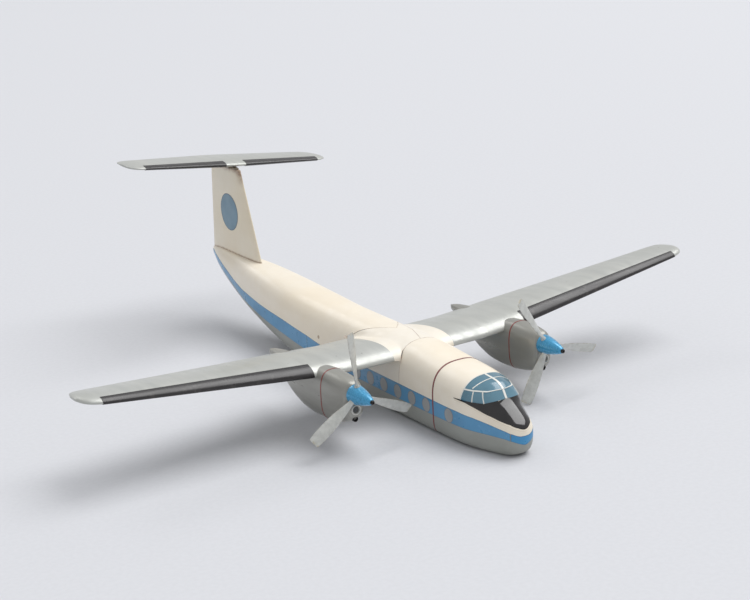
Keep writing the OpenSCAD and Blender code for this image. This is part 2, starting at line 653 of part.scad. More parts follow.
// Base and rail of the windscreen in side view, which droop as they run aft
SCREEN_BASE = [[14, 28], [15.7, 27.8], [20, 26.3], [26.5, 26], [40, 26]];
RAIL = [[17, 32.4], [19, 32.4], [21.5, 31.7], [28, 31.2], [40, 31]];
SCREEN_REAR = 34.2;
FRAME_RAISE = 0.15;
SCREEN_FRONT = 15.8;
SCREEN_STATIONS = [SCREEN_FRONT, 16.2, 17, 18, 19, 21.5, 24, 28, 32, SCREEN_REAR];
// Lower edge of the anti-glare panel in side view
ANTIGLARE_EDGE = [[0.4, 14.4], [1.5, 16.4], [4.4, 18], [10.5, 19.3], [17.2, 21.1], [23.4, 23.2], [30.6, 25],
    [39, 25.5]];
PANEL_STATIONS = [0.6, 1.5, 2.6, 4, 6.2, 9, 12, 15, 17, 19, 21.5, 24, 28, 32, 35, 38.5];

function panel_rows(g) = [for (s = PANEL_STATIONS) crown_arc(s, line_z(ANTIGLARE_EDGE, s), g)];
module antiglare_panel()
    color([0.05, 0.05, 0.05]) difference() {
        sheet(panel_rows(film), panel_rows(film_gap));
        side_prism(concat(SCREEN_BASE, [[40, far], [14, far]]));
    }

// White bars over the windscreen
BAR = 0.8;
ARCH_STATION = 29;
module frame_bars() {
    side_prism(concat([for (p = RAIL) [p[0], p[1] - BAR / 2]],
        [for (i = [len(RAIL) - 1:-1:0]) [RAIL[i][0], RAIL[i][1] + BAR / 2]]));
    slab(0, 60, 20, 60, -BAR, BAR);
    slab(ARCH_STATION - BAR / 2, ARCH_STATION + BAR / 2, 31.2);
    slab(SCREEN_REAR - BAR, SCREEN_REAR, 20);
    for (side = [-1, 1]) {
        post(side, 11.5, 28, 13.9, 26.3);
        post(side, 9.2, 23.3, 11, 20);
    }
}

// Upright post on the line from [x0, s0] at the rail to [x1, s1] at the base, in plan
module post(side, x0, s0, x1, s1)
    translate([side * x0, station_y(s0), 20]) rotate([0, 0, atan2(s1 - s0, side * (x1 - x0))])
        translate([-6, -BAR / 2, 0]) cube([16, BAR, 31.4 - 20]);

function screen_rows(g) = [for (s = SCREEN_STATIONS) crown_arc(s, line_z(SCREEN_BASE, s) + 0.2, g)];

module windscreen_panes() color([0.4, 0.56, 0.64]) sheet(screen_rows(film), screen_rows(film_gap));

module windscreen_frame()
    color([0.95, 0.95, 0.93]) intersection() {
        sheet(screen_rows(film + FRAME_RAISE), screen_rows(film));
        frame_bars();
    }

// ---- stand socket ----

module stand_socket()
    color([0.75, 0.6, 0.3]) difference() {
        cylinder(r = socket_bore_r + 1.2, h = socket_depth + 1);
        translate([0, 0, -1]) cylinder(r = socket_bore_r, h = socket_depth + 1);
    }

lower_body();
forward_upper_body();
aft_upper_body();
starboard_wing_root();
port_wing_root();
wing_spar();
starboard_wing();
port_wing();
starboard_wing_boot();
port_wing_boot();
starboard_nacelle();
port_nacelle();
starboard_nacelle_band();
port_nacelle_band();
starboard_intake_lip();
port_intake_lip();
starboard_intake_mesh();
port_intake_mesh();
starboard_drain_pipe();
port_drain_pipe();
starboard_prop_pin();
port_prop_pin();
starboard_spinner();
port_spinner();
starboard_blade_1();
starboard_blade_2();
starboard_blade_3();
port_blade_1();
port_blade_2();
port_blade_3();
fin();
fin_dowel();
tailplane();
tail_pin();
tail_joint_glue();
starboard_tail_boot();
port_tail_boot();
fin_roundels();
nose_stripe();
starboard_stripe();
port_stripe();
body_band();
starboard_windows();
port_windows();
antiglare_panel();
windscreen_panes();
windscreen_frame();
stand_socket();
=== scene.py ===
"""Desk display model of a high-wing, T-tailed twin-turboprop, lying on its belly on a pale table.

Sizes are millimetres in the tables and metres in the scene. "Station" is the distance aft of the
nose tip, as in part.scad, and the tables of sections repeat that file's. Every visible surface is
a finely divided mesh on the same formulas as the CAD solid that it stands for.
"""

import math

import bmesh
import bpy
import numpy as np
from mathutils import Matrix, Vector


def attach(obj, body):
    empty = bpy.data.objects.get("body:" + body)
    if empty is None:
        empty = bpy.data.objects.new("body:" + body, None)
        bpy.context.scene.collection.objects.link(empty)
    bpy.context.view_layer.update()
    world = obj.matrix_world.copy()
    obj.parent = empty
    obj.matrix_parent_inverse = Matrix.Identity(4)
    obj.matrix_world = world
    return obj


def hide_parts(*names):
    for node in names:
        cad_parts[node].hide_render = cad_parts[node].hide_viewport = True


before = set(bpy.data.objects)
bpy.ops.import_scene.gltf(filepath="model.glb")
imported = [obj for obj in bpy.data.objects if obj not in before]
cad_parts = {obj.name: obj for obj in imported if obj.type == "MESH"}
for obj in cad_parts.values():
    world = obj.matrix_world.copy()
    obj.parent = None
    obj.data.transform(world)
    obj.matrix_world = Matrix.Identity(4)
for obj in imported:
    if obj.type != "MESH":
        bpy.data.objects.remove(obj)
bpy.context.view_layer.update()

MM = 0.001
SOCKET_STATION = 122
SIDES = {"starboard": -1, "port": 1}

# ---- shape tables, in millimetres ----

# Station, half width, bottom, top, waist height, squareness above and below
HULL = [
    [0, 0.6, 9.5, 14.5, 12, 2.2, 2.2],
    [1.5, 5.2, 4.2, 17.6, 12, 2.3, 2.6],
    [4, 7.8, 1.4, 19.8, 12.5, 2.4, 3.2],
    [9, 9.6, 0, 23.2, 13.5, 2.3, 4.2],
    [15, 11.4, -0.3, 27.2, 15, 2.2, 5.2],
    [19, 12.8, -0.3, 33, 16, 2.1, 5.6],
    [24, 14.6, -0.3, 35.4, 17.5, 2.1, 5.8],
    [32, 16.6, -0.3, 36.2, 18.5, 2.4, 6],
    [43, 17.5, -0.3, 37.1, 19, 2.6, 6.4],
    [55, 17.6, -0.3, 37.9, 19.4, 2.7, 6.8],
    [90, 17.6, -0.3, 40.7, 19.8, 2.6, 7.2],
    [165, 17.6, -0.3, 41.3, 20, 2.5, 7],
    [195, 17.8, 1.2, 42.2, 22, 2.6, 4.8],
    [230, 16.8, 6.6, 43.6, 25, 2.8, 3.7],
    [265, 13.8, 13.6, 45.2, 29.5, 2.9, 3],
    [295, 9.6, 21.8, 45.8, 34.5, 2.6, 2.7],
    [320, 5.4, 31.6, 45.4, 39.5, 2.3, 2.4],
    [334, 1.2, 38.6, 44, 41.5, 2, 2],
]
NOSE_ROUND = 1.5
TAIL_END = 334

STRIPE_TOP = [[-2, 12], [0.4, 12.3], [2.2, 13.6], [5.3, 14.7], [10.7, 15.6], [16.8, 16.7], [24.7, 18.1],
              [36.8, 19.1], [59.6, 19.3], [91.8, 19.7], [172, 20.4], [188, 22.6], [216, 25.3], [250, 27.4],
              [277, 30], [291, 32.8], [306, 36.9], [321, 41], [336, 43]]
STRIPE_BOTTOM = [[-2, 6], [1.3, 7.4], [2.4, 9.7], [5.5, 10.5], [14.8, 10.6], [23.6, 10.8], [39.8, 11.1],
                 [60.6, 10.9], [104, 10.8], [154, 11.3], [192, 13.5], [217, 16.3], [246, 19.3], [277, 23.4],
                 [306, 31.6], [336, 41.6]]
NOSE_JOINT = 3
BAND_STATION = 57.2
BAND_W = 1.1

# Seams of the wing root blocks in plan: distance from the centreline, station
SEAM_FRONT = [[0, 93.2], [8, 92.6], [13, 91.8], [15.6, 89.6], [24, 89.4]]
SEAM_AFT = [[0, 117], [5, 123], [8.8, 129.4], [12.4, 136.3], [15.1, 141.2], [17.6, 145], [24, 146]]
# Seam between the two blocks: station, distance to port
SEAM_MIDDLE = [[93.2, 0], [101.5, 3], [110.8, 6.3], [129.4, 8.8]]
ROOT_X = 19.6

WINDOW_Z = 14.9
WINDOW_W = 7.4
WINDOW_H = 8
WINDOW_STATIONS = [42.9] + [63.6 + 13.8 * i for i in range(6)]

# Base and rail of the windscreen: station, height
SCREEN_BASE = [[14, 28], [15.7, 27.8], [20, 26.3], [26.5, 26], [40, 26]]
RAIL = [[17, 32.4], [19, 32.4], [21.5, 31.7], [28, 31.2], [40, 31]]
SCREEN_FRONT = 15.62
SCREEN_REAR = 34.2
PANEL_EDGE = [[0.26, 15.5], [1.5, 16.5], [4.4, 18], [10.5, 19.3], [17.2, 21.1], [23.4, 23.2], [30.6, 25],
              [39, 25.5]]

# Distance from the centreline, leading edge, trailing edge, height above and below chord
WING = [
    [19.6, 89.8, 138.8, 5.8, 1.9],
    [40, 90.1, 139, 5.8, 1.9],
    [61.5, 90.4, 139.2, 5.8, 1.9],
    [69.2, 90.6, 138.6, 5.7, 1.8],
    [110, 92.6, 132.6, 4.8, 1.5],
    [150, 94.5, 127.1, 3.8, 1.2],
    [186.5, 96.3, 122.4, 2.8, 0.9],
    [192, 98.4, 121.2, 2.3, 0.8],
    [195, 101.4, 118.8, 1.7, 0.6],
    [196.6, 106, 114, 0.8, 0.4],
]
WING_Z = 33.2
LEVEL_X = 40
WING_BREAK = 61.5
BREAK_RISE = 1.3
DIHEDRAL = {-1: 5.7, 1: 7.3}
WING_BOOT = (69.2, 186.5)
EDGE_HALF = 0.2

# Distance from the centreline, leading edge, trailing edge, half thickness
TAIL = [
    [0, 294, 334, 2],
    [7, 294.5, 333.6, 2],
    [61, 297.5, 328.4, 1.4],
    [66, 299.4, 326.4, 1.16],
    [68.6, 302.6, 323.4, 0.84],
    [69.5, 307, 318, 0.5],
]
TAIL_Z = 104.6
TAIL_TILT = 6.4
TAIL_BOOT = (7, 61)

# Station, half width, bottom, top
NACELLE = [
    [63.6, 5, 18.6, 37.2],
    [65.6, 6.1, 16.6, 38],
    [70, 7, 14.6, 38.9],
    [76, 7.6, 13.2, 39.4],
    [85, 7.9, 12, 39.6],
    [95, 7.9, 11.6, 38.8],
    [105, 7.7, 12.3, 38],
    [115, 7.3, 15, 37.4],
    [125, 6.5, 20, 36.8],
    [133, 5.4, 25, 36.2],
    [142, 3.9, 29.2, 35.4],
    [149, 2.2, 31, 34.4],
    [152.5, 0.8, 32, 33.4],
]
NACELLE_SQUARE = 2.9
NACELLE_BAND = 85
ENGINE_X = 61.5
AXIS_Z = 31.6

PROP_STATION = 60.3
PROP_R = 34.2
SPINNER_BASE = 63.3
SPINNER_TIP = 47.2
SPINNER_R = 5.3
SPINNER_NOSE_R = 1.4
BLADE_ANGLES = {-1: [-4.6, 115.4, 235.4], 1: [-32.6, 105.4, 207.4]}
# Distance from the axis as a share of the radius, chord, thickness, pitch in degrees
BLADE = [[0.065, 3, 3, 48], [0.15, 3, 3, 48], [0.17, 3, 2.4, 48], [0.21, 3.4, 1.7, 46],
         [0.3, 4.2, 1.4, 43], [0.5, 6, 1.2, 36], [0.75, 6.8, 1, 30], [0.94, 6.4, 0.8, 27],
         [0.985, 5.9, 0.75, 26.3], [1, 4.8, 0.6, 26]]

INTAKE_Z = 22.9
INTAKE_R = 2.9
INTAKE_FRONT = 62.6
DRAIN_Z = 17.4
DRAIN_FRONT = 63.8

FIN_BASE_Z = 43
FIN_TOP_Z = 101.4
FIN_HALF = 2.2
EMBLEM = (306.3, 72.3, 12)


# ---- curves through the tables ----

def table_line(table, x):
    """Straight-line value of a two-column table."""
    return np.interp(x, [r[0] for r in table], [r[1] for r in table])


class Smooth:
    """Smooth curve through one column of a table, level where the column turns so that nothing overshoots."""

    def __init__(self, table, column):
        self.x = np.array([r[0] for r in table], float)
        self.y = np.array([r[column] for r in table], float)
        h = np.diff(self.x)
        d = np.diff(self.y) / h
        self.m = np.zeros(len(self.x))
        self.m[0], self.m[-1] = d[0], d[-1]
        for i in range(1, len(d)):
            if d[i - 1] * d[i] > 0:
                w0, w1 = 2 * h[i] + h[i - 1], h[i] + 2 * h[i - 1]
                self.m[i] = (w0 + w1) / (w0 / d[i - 1] + w1 / d[i])

    def __call__(self, x):
        x = np.clip(np.asarray(x, float), self.x[0], self.x[-1])
        i = np.clip(np.searchsorted(self.x, x, side="right") - 1, 0, len(self.x) - 2)
        h = self.x[i + 1] - self.x[i]
        u = (x - self.x[i]) / h
        return (self.y[i] * (2 * u**3 - 3 * u**2 + 1) + self.m[i] * h * (u**3 - 2 * u**2 + u)
                + self.y[i + 1] * (3 * u**2 - 2 * u**3) + self.m[i + 1] * h * (u**3 - u**2))


HULL_CURVES = [Smooth(HULL, c) for c in range(1, 7)]


def hull_values(s):
    """Half width, bottom, top, waist and both squarenesses at stations s, with a rounded nose tip."""
    s = np.asarray(s, float)
    width, bottom, top, waist, up_n, down_n = (c(s) for c in HULL_CURVES)
    round_off = np.sqrt(np.clip(s / NOSE_ROUND, 0, 1))
    near = s < NOSE_ROUND
    width = np.where(near, 5.2 * round_off, width)
    bottom = np.where(near, 9.3 - 5.1 * round_off, bottom)
    top = np.where(near, 14 + 3.6 * round_off, top)
    return width, bottom, top, waist, up_n, down_n


def station_y(s):
    return np.asarray(s, float) - SOCKET_STATION


def hull_x(s, z):
    """Half width of the fuselage at station s and height z."""
    width, bottom, top, waist, up_n, down_n = hull_values(s)
    above = z > waist
    reach = np.where(above, top - waist, waist - bottom)
    n = np.where(above, up_n, down_n)
    share = np.clip(np.abs(z - waist) / reach, 0, 1)
    return width * (1 - share**n) ** (1 / n)


def crown_z(s, x):
    """Height of the fuselage's top at station s and distance x from the centreline."""
    width, _, top, waist, up_n, _ = hull_values(s)
    share = np.clip(np.abs(x) / width, 0, 1)
    return waist + (top - waist) * (1 - share**up_n) ** (1 / up_n)


def hull_points(side, s, z):
    s, z = np.broadcast_arrays(np.asarray(s, float), np.asarray(z, float))
    return np.stack([side * hull_x(s, z), station_y(s), z], -1)


def resample(line, shares):
    """Points at these shares of a polyline's length."""
    step = np.linalg.norm(np.diff(line, axis=0), axis=1)
    run = np.concatenate([[0], np.cumsum(step)])
    return np.stack([np.interp(np.asarray(shares) * run[-1], run, line[:, k]) for k in range(3)], -1)


ARC_STEPS = 500


def hull_arc(s, z_edge, shares, upper=True):
    """Points at a station from height z_edge, starboard to port, over the crown or the belly."""
    width, bottom, top, waist, up_n, down_n = (float(v) for v in hull_values(s))
    if z_edge >= waist:
        start = math.asin(min(1, (z_edge - waist) / (top - waist)) ** (up_n / 2))
    else:
        start = -math.asin(min(1, (waist - z_edge) / (waist - bottom)) ** (down_n / 2))
    end = math.pi - start
    if upper:
        a = np.linspace(end, start, ARC_STEPS)
    else:
        a = np.linspace(end, 2 * math.pi + start, ARC_STEPS)
    high = np.sin(a) > 0
    e = np.where(high, 2 / up_n, 2 / down_n)
    x = width * np.sign(np.cos(a)) * np.abs(np.cos(a)) ** e
    z = waist + np.where(high, top - waist, waist - bottom) * np.sign(np.sin(a)) * np.abs(np.sin(a)) ** e
    z = np.maximum(z, 0)
    return resample(np.stack([x, np.full_like(x, station_y(s)), z], -1), shares)


# ---- mesh building ----

def new_piece(name, verts, faces, body="airframe", slot=None, material=None, fields=None):
    """A mesh piece in metres from points in millimetres, riding on a body. A piece that has the
    name of a CAD node replaces that node."""
    mesh = bpy.data.meshes.new(name)
    mesh.from_pydata((np.asarray(verts, float) * MM).tolist(), [], faces)
    mesh.validate()
    mesh.update()
    for field, values in (fields or {}).items():
        attribute = mesh.attributes.new(field, "FLOAT", "POINT")
        attribute.data.foreach_set("value", np.asarray(values, np.float32).ravel())
    piece = bpy.data.objects.new(name, mesh)
    bpy.context.scene.collection.objects.link(piece)
    mesh.shade_smooth()
    mesh.set_sharp_from_angle(angle=math.radians(38))
    if material:
        mesh.materials.append(material)
    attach(piece, body)
    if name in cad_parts:
        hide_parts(name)
    return piece


def grid_faces(m, n, wrap=False, offset=0, flip=False):
    """Quads of an m by n grid of points, whose rows may close on themselves."""
    faces = []
    for j in range(m - 1):
        for k in range(n if wrap else n - 1):
            l = (k + 1) % n
            row, after = offset + j * n, offset + (j + 1) * n
            quad = [row + k, after + k, after + l, row + l]
            faces.append(quad[::-1] if flip else quad)
    return faces


def outward_sign(grid, inside):
    """1 where the grid's own normal points away from the points inside, and -1 where towards them."""
    du = np.gradient(grid, axis=0)
    dv = np.gradient(grid, axis=1)
    normal = np.cross(du, dv)
    return 1 if (normal * (grid - inside)).sum() > 0 else -1


def grid_normals(grid, inside):
    du = np.gradient(grid, axis=0)
    dv = np.gradient(grid, axis=1)
    normal = np.cross(du, dv) * outward_sign(grid, inside)
    return normal / np.maximum(np.linalg.norm(normal, axis=-1, keepdims=True), 1e-9)


def axis_points(grid, x=0, z=24):
    """Points inside the fuselage, or another long body, level with each grid point."""
    inside = np.array(grid)
    inside[..., 0] = x
    inside[..., 2] = z
    return inside


FILM_SINK = 0.06


def film_parts(grid, thick, inside):
    """Vertices and faces of a thin closed film on a grid of surface points."""
    normal = grid_normals(grid, inside)
    outer = grid + normal * thick
    inner = grid - normal * FILM_SINK
    m, n = grid.shape[:2]
    flip = outward_sign(grid, inside) < 0
    faces = grid_faces(m, n, flip=flip) + grid_faces(m, n, offset=m * n, flip=not flip)
    rim = ([k for k in range(n)] + [j * n + n - 1 for j in range(1, m)]
           + [(m - 1) * n + k for k in range(n - 2, -1, -1)] + [j * n for j in range(m - 2, 0, -1)])
    for p, q in zip(rim, rim[1:] + rim[:1]):
        quad = [p, q, m * n + q, m * n + p]
        faces.append(quad[::-1] if flip else quad)
    return np.concatenate([outer.reshape(-1, 3), inner.reshape(-1, 3)]), faces


def film(name, grids, thick, inside=axis_points, fields=None, **how):
    """Thin film made of one or more grids of surface points."""
    verts, faces, start = [], [], 0
    for grid in grids:
        v, f = film_parts(grid, thick, inside(grid))
        verts.append(v)
        faces += [[i + start for i in face] for face in f]
        start += len(v)
    values = {field: np.concatenate([np.concatenate([a.ravel(), a.ravel()]) for a in arrays])
              for field, arrays in (fields or {}).items()}
    return new_piece(name, np.concatenate(verts), faces, fields=values, **how)


def closed_loft(name, rings, fields=None, **how):
    """Closed body through rings along any line, each closed on itself, with a cap at both ends."""
    rings = np.asarray(rings, float)
    m, n = rings.shape[:2]
    faces = grid_faces(m, n, wrap=True)
    verts = rings.reshape(-1, 3)
    faces.append(list(range(n)))
    faces.append([(m - 1) * n + k for k in range(n - 1, -1, -1)])
    centre = rings.mean(1, keepdims=True)
    if outward_sign(rings, np.broadcast_to(centre, rings.shape)) < 0:
        faces = [f[::-1] for f in faces]
    return new_piece(name, verts, faces, fields=fields, **how)


def lathe(name, outline, at, turns=64, **how):
    """Body turned from an outline of [radius, distance aft of the point at] about an axis along Y."""
    verts, n = [], len(outline)
    for t in range(turns):
        a = 2 * math.pi * t / turns
        verts += [[at[0] + r * math.cos(a), at[1] + d, at[2] + r * math.sin(a)] for r, d in outline]
    faces = []
    for t in range(turns):
        u = (t + 1) % turns
        for k in range(n - 1):
            faces.append([t * n + k, t * n + k + 1, u * n + k + 1, u * n + k])
    piece = new_piece(name, verts, faces, **how)
    weld(piece)
    return piece


def weld(piece):
    """Joins the points that meet on a lathe's axis, and turns all faces outwards."""
    b = bmesh.new()
    b.from_mesh(piece.data)
    bmesh.ops.remove_doubles(b, verts=b.verts, dist=1e-7)
    bmesh.ops.dissolve_degenerate(b, edges=b.edges, dist=1e-8)
    bmesh.ops.recalc_face_normals(b, faces=b.faces)
    b.to_mesh(piece.data)
    b.free()
    piece.data.shade_smooth()
    piece.data.set_sharp_from_angle(angle=math.radians(38))


def spread(low, high, count, ends=0.0):
    """Values from low to high, evenly spread, or gathered towards both ends where ends is near 1."""
    u = np.linspace(0, 1, count)
    eased = (1 - np.cos(math.pi * u)) / 2
    return low + (high - low) * (u * (1 - ends) + eased * ends)


# ---- materials ----

class Shader:
    """A Principled material with short calls for the nodes that feed it."""

    def __init__(self, name, roughness=0.4, **sockets):
        self.material = bpy.data.materials.new(name)
        self.material.use_nodes = True
        self.tree = self.material.node_tree
        self.surface = self.tree.nodes["Principled BSDF"]
        self.surface.inputs["Roughness"].default_value = roughness
        for socket, value in sockets.items():
            self.surface.inputs[socket.replace("_", " ")].default_value = value
        self.place = self.add("ShaderNodeTexCoord").outputs["Object"]

    def add(self, kind, **settings):
        node = self.tree.nodes.new(kind)
        for key, value in settings.items():
            setattr(node, key, value)
        return node

    def put(self, socket, value):
        if hasattr(value, "is_output"):
            self.tree.links.new(value, socket)
        else:
            socket.default_value = value

    def stretched(self, scale):
        node = self.add("ShaderNodeMapping")
        self.put(node.inputs["Vector"], self.place)
        node.inputs["Scale"].default_value = scale
        return node.outputs["Vector"]

    def noise(self, per_mm, detail=4.0, roughness=0.55, stretch=(1, 1, 1)):
        """Cloudy noise with so many features per millimetre."""
        node = self.add("ShaderNodeTexNoise")
        self.put(node.inputs["Vector"], self.stretched(stretch))
        node.inputs["Scale"].default_value = per_mm / MM
        node.inputs["Detail"].default_value = detail
        node.inputs["Roughness"].default_value = roughness
        return node.outputs["Fac"]

    def math(self, operation, a, b=0.0):
        node = self.add("ShaderNodeMath", operation=operation)
        self.put(node.inputs[0], a)
        self.put(node.inputs[1], b)
        return node.outputs[0]

    def between(self, value, low, high, to_low=0.0, to_high=1.0):
        """Value remapped from low..high, clamped."""
        node = self.add("ShaderNodeMapRange", interpolation_type="SMOOTHSTEP")
        sockets = ("Value", "From Min", "From Max", "To Min", "To Max")
        for socket, v in zip(sockets, (value, low, high, to_low, to_high)):
            self.put(node.inputs[socket], v)
        return node.outputs["Result"]

    def mix(self, share, a, b):
        node = self.add("ShaderNodeMix", data_type="RGBA")
        self.put(node.inputs[0], share)
        self.put(node.inputs[6], a if hasattr(a, "is_output") else (*a, 1.0))
        self.put(node.inputs[7], b if hasattr(b, "is_output") else (*b, 1.0))
        return node.outputs[2]

    def field(self, name):
        return self.add("ShaderNodeAttribute", attribute_name=name).outputs["Fac"]

    def axis(self, letter):
        node = self.add("ShaderNodeSeparateXYZ")
        self.put(node.inputs[0], self.place)
        return node.outputs[letter]

    def colour(self, value):
        self.put(self.surface.inputs["Base Color"], value if hasattr(value, "is_output") else (*value, 1.0))

    def rough(self, value):
        self.put(self.surface.inputs["Roughness"], value)

    def bump(self, height, depth_mm, strength=1.0):
        node = self.add("ShaderNodeBump")
        node.inputs["Distance"].default_value = depth_mm * MM
        node.inputs["Strength"].default_value = strength
        self.put(node.inputs["Height"], height)
        self.put(self.surface.inputs["Normal"], node.outputs["Normal"])

    def specks(self, per_mm, size, share):
        """Sparse small specks: 1 inside a speck."""
        node = self.add("ShaderNodeTexVoronoi")
        self.put(node.inputs["Vector"], self.place)
        node.inputs["Scale"].default_value = per_mm / MM
        dot = self.between(node.outputs["Distance"], size * 0.5, size, 1.0, 0.0)
        chosen = self.add("ShaderNodeSeparateColor")
        self.put(chosen.inputs[0], node.outputs["Color"])
        kept = self.math("LESS_THAN", chosen.outputs[0], share)
        return self.math("MULTIPLY", dot, kept)


def linear(r, g, b):
    """Linear colour from 0-255 screen values."""
    return tuple((c / 255 / 12.92) if c <= 10 else (((c / 255) + 0.055) / 1.055) ** 2.4 for c in (r, g, b))


DIRT = linear(140, 104, 76)


def cream_paint(name, base=(243, 235, 221), dirt=0.75, specks=0.08):
    """Aged cream gloss paint: mottled, yellowed, with sparse brown specks and dirt held in the seams."""
    m = Shader(name, roughness=0.34, Coat_Weight=0.25, Coat_Roughness=0.18)
    cloud = m.between(m.noise(0.02, 3), 0.35, 0.7)
    fine = m.between(m.noise(0.22, 5), 0.3, 0.75)
    colour = m.mix(cloud, linear(*base), linear(base[0] - 4, base[1] - 7, base[2] - 12))
    colour = m.mix(m.math("MULTIPLY", fine, 0.25), colour, linear(base[0] - 9, base[1] - 13, base[2] - 20))
    marks = m.math("MAXIMUM", m.specks(0.11, 0.16, specks), m.specks(0.045, 0.05, specks))
    marks = m.math("MULTIPLY", marks, m.between(m.noise(0.03, 2), 0.45, 0.6, 0.05, 0.75))
    colour = m.mix(marks, colour, linear(150, 118, 84))
    grime = m.math("MULTIPLY", m.field("dirt"), m.between(m.noise(0.35, 4), 0.25, 0.65, 0.35, dirt))
    m.colour(m.mix(grime, colour, DIRT))
    m.rough(m.between(m.noise(0.12, 4), 0.3, 0.75, 0.3, 0.46))
    m.bump(m.noise(0.5, 3), 0.012)
    return m.material


def satin_paint(name, base, streak=(10, 9, 8), roughness=0.42, metallic=0.0, stretch=(1, 0.12, 1), dirt=0.5):
    """Satin paint with long brushed streaks, light scuffs and dirt in the corners."""
    m = Shader(name, roughness=roughness, Metallic=metallic, Coat_Weight=0.12, Coat_Roughness=0.25)
    streaks = m.between(m.noise(0.16, 6, 0.6, stretch), 0.3, 0.72)
    cloud = m.between(m.noise(0.025, 3), 0.35, 0.7)
    low = tuple(b - s for b, s in zip(base, streak))
    colour = m.mix(streaks, linear(*base), linear(*low))
    colour = m.mix(m.math("MULTIPLY", cloud, 0.5), colour, linear(base[0] - 12, base[1] - 12, base[2] - 14))
    scuffs = m.math("MULTIPLY", m.specks(0.14, 0.1, 0.2), 0.5)
    colour = m.mix(scuffs, colour, linear(120, 118, 112))
    grime = m.math("MULTIPLY", m.field("dirt"), m.between(m.noise(0.35, 4), 0.25, 0.65, 0.3, dirt))
    m.colour(m.mix(grime, colour, DIRT))
    m.rough(m.between(m.noise(0.2, 5, 0.6, stretch), 0.3, 0.7, roughness - 0.07, roughness + 0.12))
    m.bump(m.noise(0.45, 4, 0.6, stretch), 0.014)
    return m.material


def film_paint(name, base, edge=(70, 80, 90), roughness=0.32, mottled=10, coat=0.3, door_lines=()):
    """Printed film: a flat colour, faintly mottled and scuffed, with a darker line along its edge."""
    m = Shader(name, roughness=roughness, Coat_Weight=coat, Coat_Roughness=0.12)
    cloud = m.between(m.noise(0.05, 4), 0.35, 0.7)
    colour = m.mix(cloud, linear(*base), linear(*(max(0, b - mottled) for b in base)))
    marks = m.math("MULTIPLY", m.specks(0.12, 0.11, 0.3), 0.55)
    colour = m.mix(marks, colour, linear(*(max(0, b - 55) for b in base)))
    wear = m.math("MULTIPLY", m.between(m.noise(0.5, 5), 0.62, 0.72), 0.22)
    colour = m.mix(wear, colour, linear(*(min(255, b + 45) for b in base)))
    line = m.field("edge")
    for station in door_lines:
        gap = m.math("ABSOLUTE", m.math("SUBTRACT", m.axis("Y"), float(station_y(station)) * MM))
        line = m.math("MAXIMUM", line, m.between(gap, 0.12 * MM, 0.3 * MM, 1.0, 0.0))
    m.colour(m.mix(m.math("MULTIPLY", line, 0.8), colour, linear(*edge)))
    m.rough(m.between(m.noise(0.15, 4), 0.3, 0.75, roughness - 0.06, roughness + 0.1))
    m.bump(m.noise(0.4, 3), 0.01)
    return m.material


def panel_paint():
    """Gloss black lacquer with fine scratches and a few dust marks."""
    m = Shader("antiglare_black", roughness=0.1, Coat_Weight=0.6, Coat_Roughness=0.05)
    cloud = m.between(m.noise(0.08, 4), 0.35, 0.7)
    colour = m.mix(cloud, linear(16, 14, 15), linear(30, 27, 28))
    scratch = m.between(m.noise(0.5, 3, 0.5, (0.15, 1, 1)), 0.66, 0.72)
    colour = m.mix(m.math("MULTIPLY", scratch, 0.3), colour, linear(120, 112, 108))
    m.colour(m.mix(m.math("MULTIPLY", m.specks(0.25, 0.1, 0.12), 0.6), colour, linear(170, 165, 158)))
    m.rough(m.between(m.noise(0.3, 5), 0.35, 0.75, 0.07, 0.22))
    m.bump(m.noise(0.12, 3), 0.03)
    return m.material


def boot_film():
    """Semi-gloss black-brown film with spanwise wear lines and dust."""
    m = Shader("boot_black", roughness=0.33, Coat_Weight=0.2, Coat_Roughness=0.2)
    lines = m.between(m.noise(0.35, 5, 0.6, (0.06, 1, 1)), 0.3, 0.75)
    colour = m.mix(lines, linear(44, 40, 41), linear(26, 23, 24))
    dust = m.math("MULTIPLY", m.between(m.noise(0.2, 5), 0.55, 0.72), 0.25)
    colour = m.mix(dust, colour, linear(110, 104, 100))
    m.colour(m.mix(m.math("MULTIPLY", m.field("edge"), 0.7), colour, linear(22, 20, 20)))
    m.rough(m.between(m.noise(0.25, 5, 0.6, (0.1, 1, 1)), 0.3, 0.7, 0.26, 0.44))
    m.bump(m.noise(0.4, 4, 0.6, (0.1, 1, 1)), 0.02)
    return m.material


def spinner_paint():
    """Sky-blue metallic lacquer, darker in the scuffs."""
    m = Shader("spinner_blue", roughness=0.26, Metallic=0.3, Coat_Weight=0.5, Coat_Roughness=0.1)
    flake = m.between(m.noise(3.0, 2), 0.35, 0.65)
    colour = m.mix(flake, linear(74, 165, 208), linear(58, 146, 192))
    wear = m.math("MULTIPLY", m.between(m.noise(0.35, 5), 0.6, 0.72), 0.5)
    m.colour(m.mix(wear, colour, linear(44, 104, 140)))
    m.rough(m.between(m.noise(0.4, 4), 0.3, 0.7, 0.2, 0.36))
    m.bump(m.noise(0.6, 3), 0.012)
    return m.material


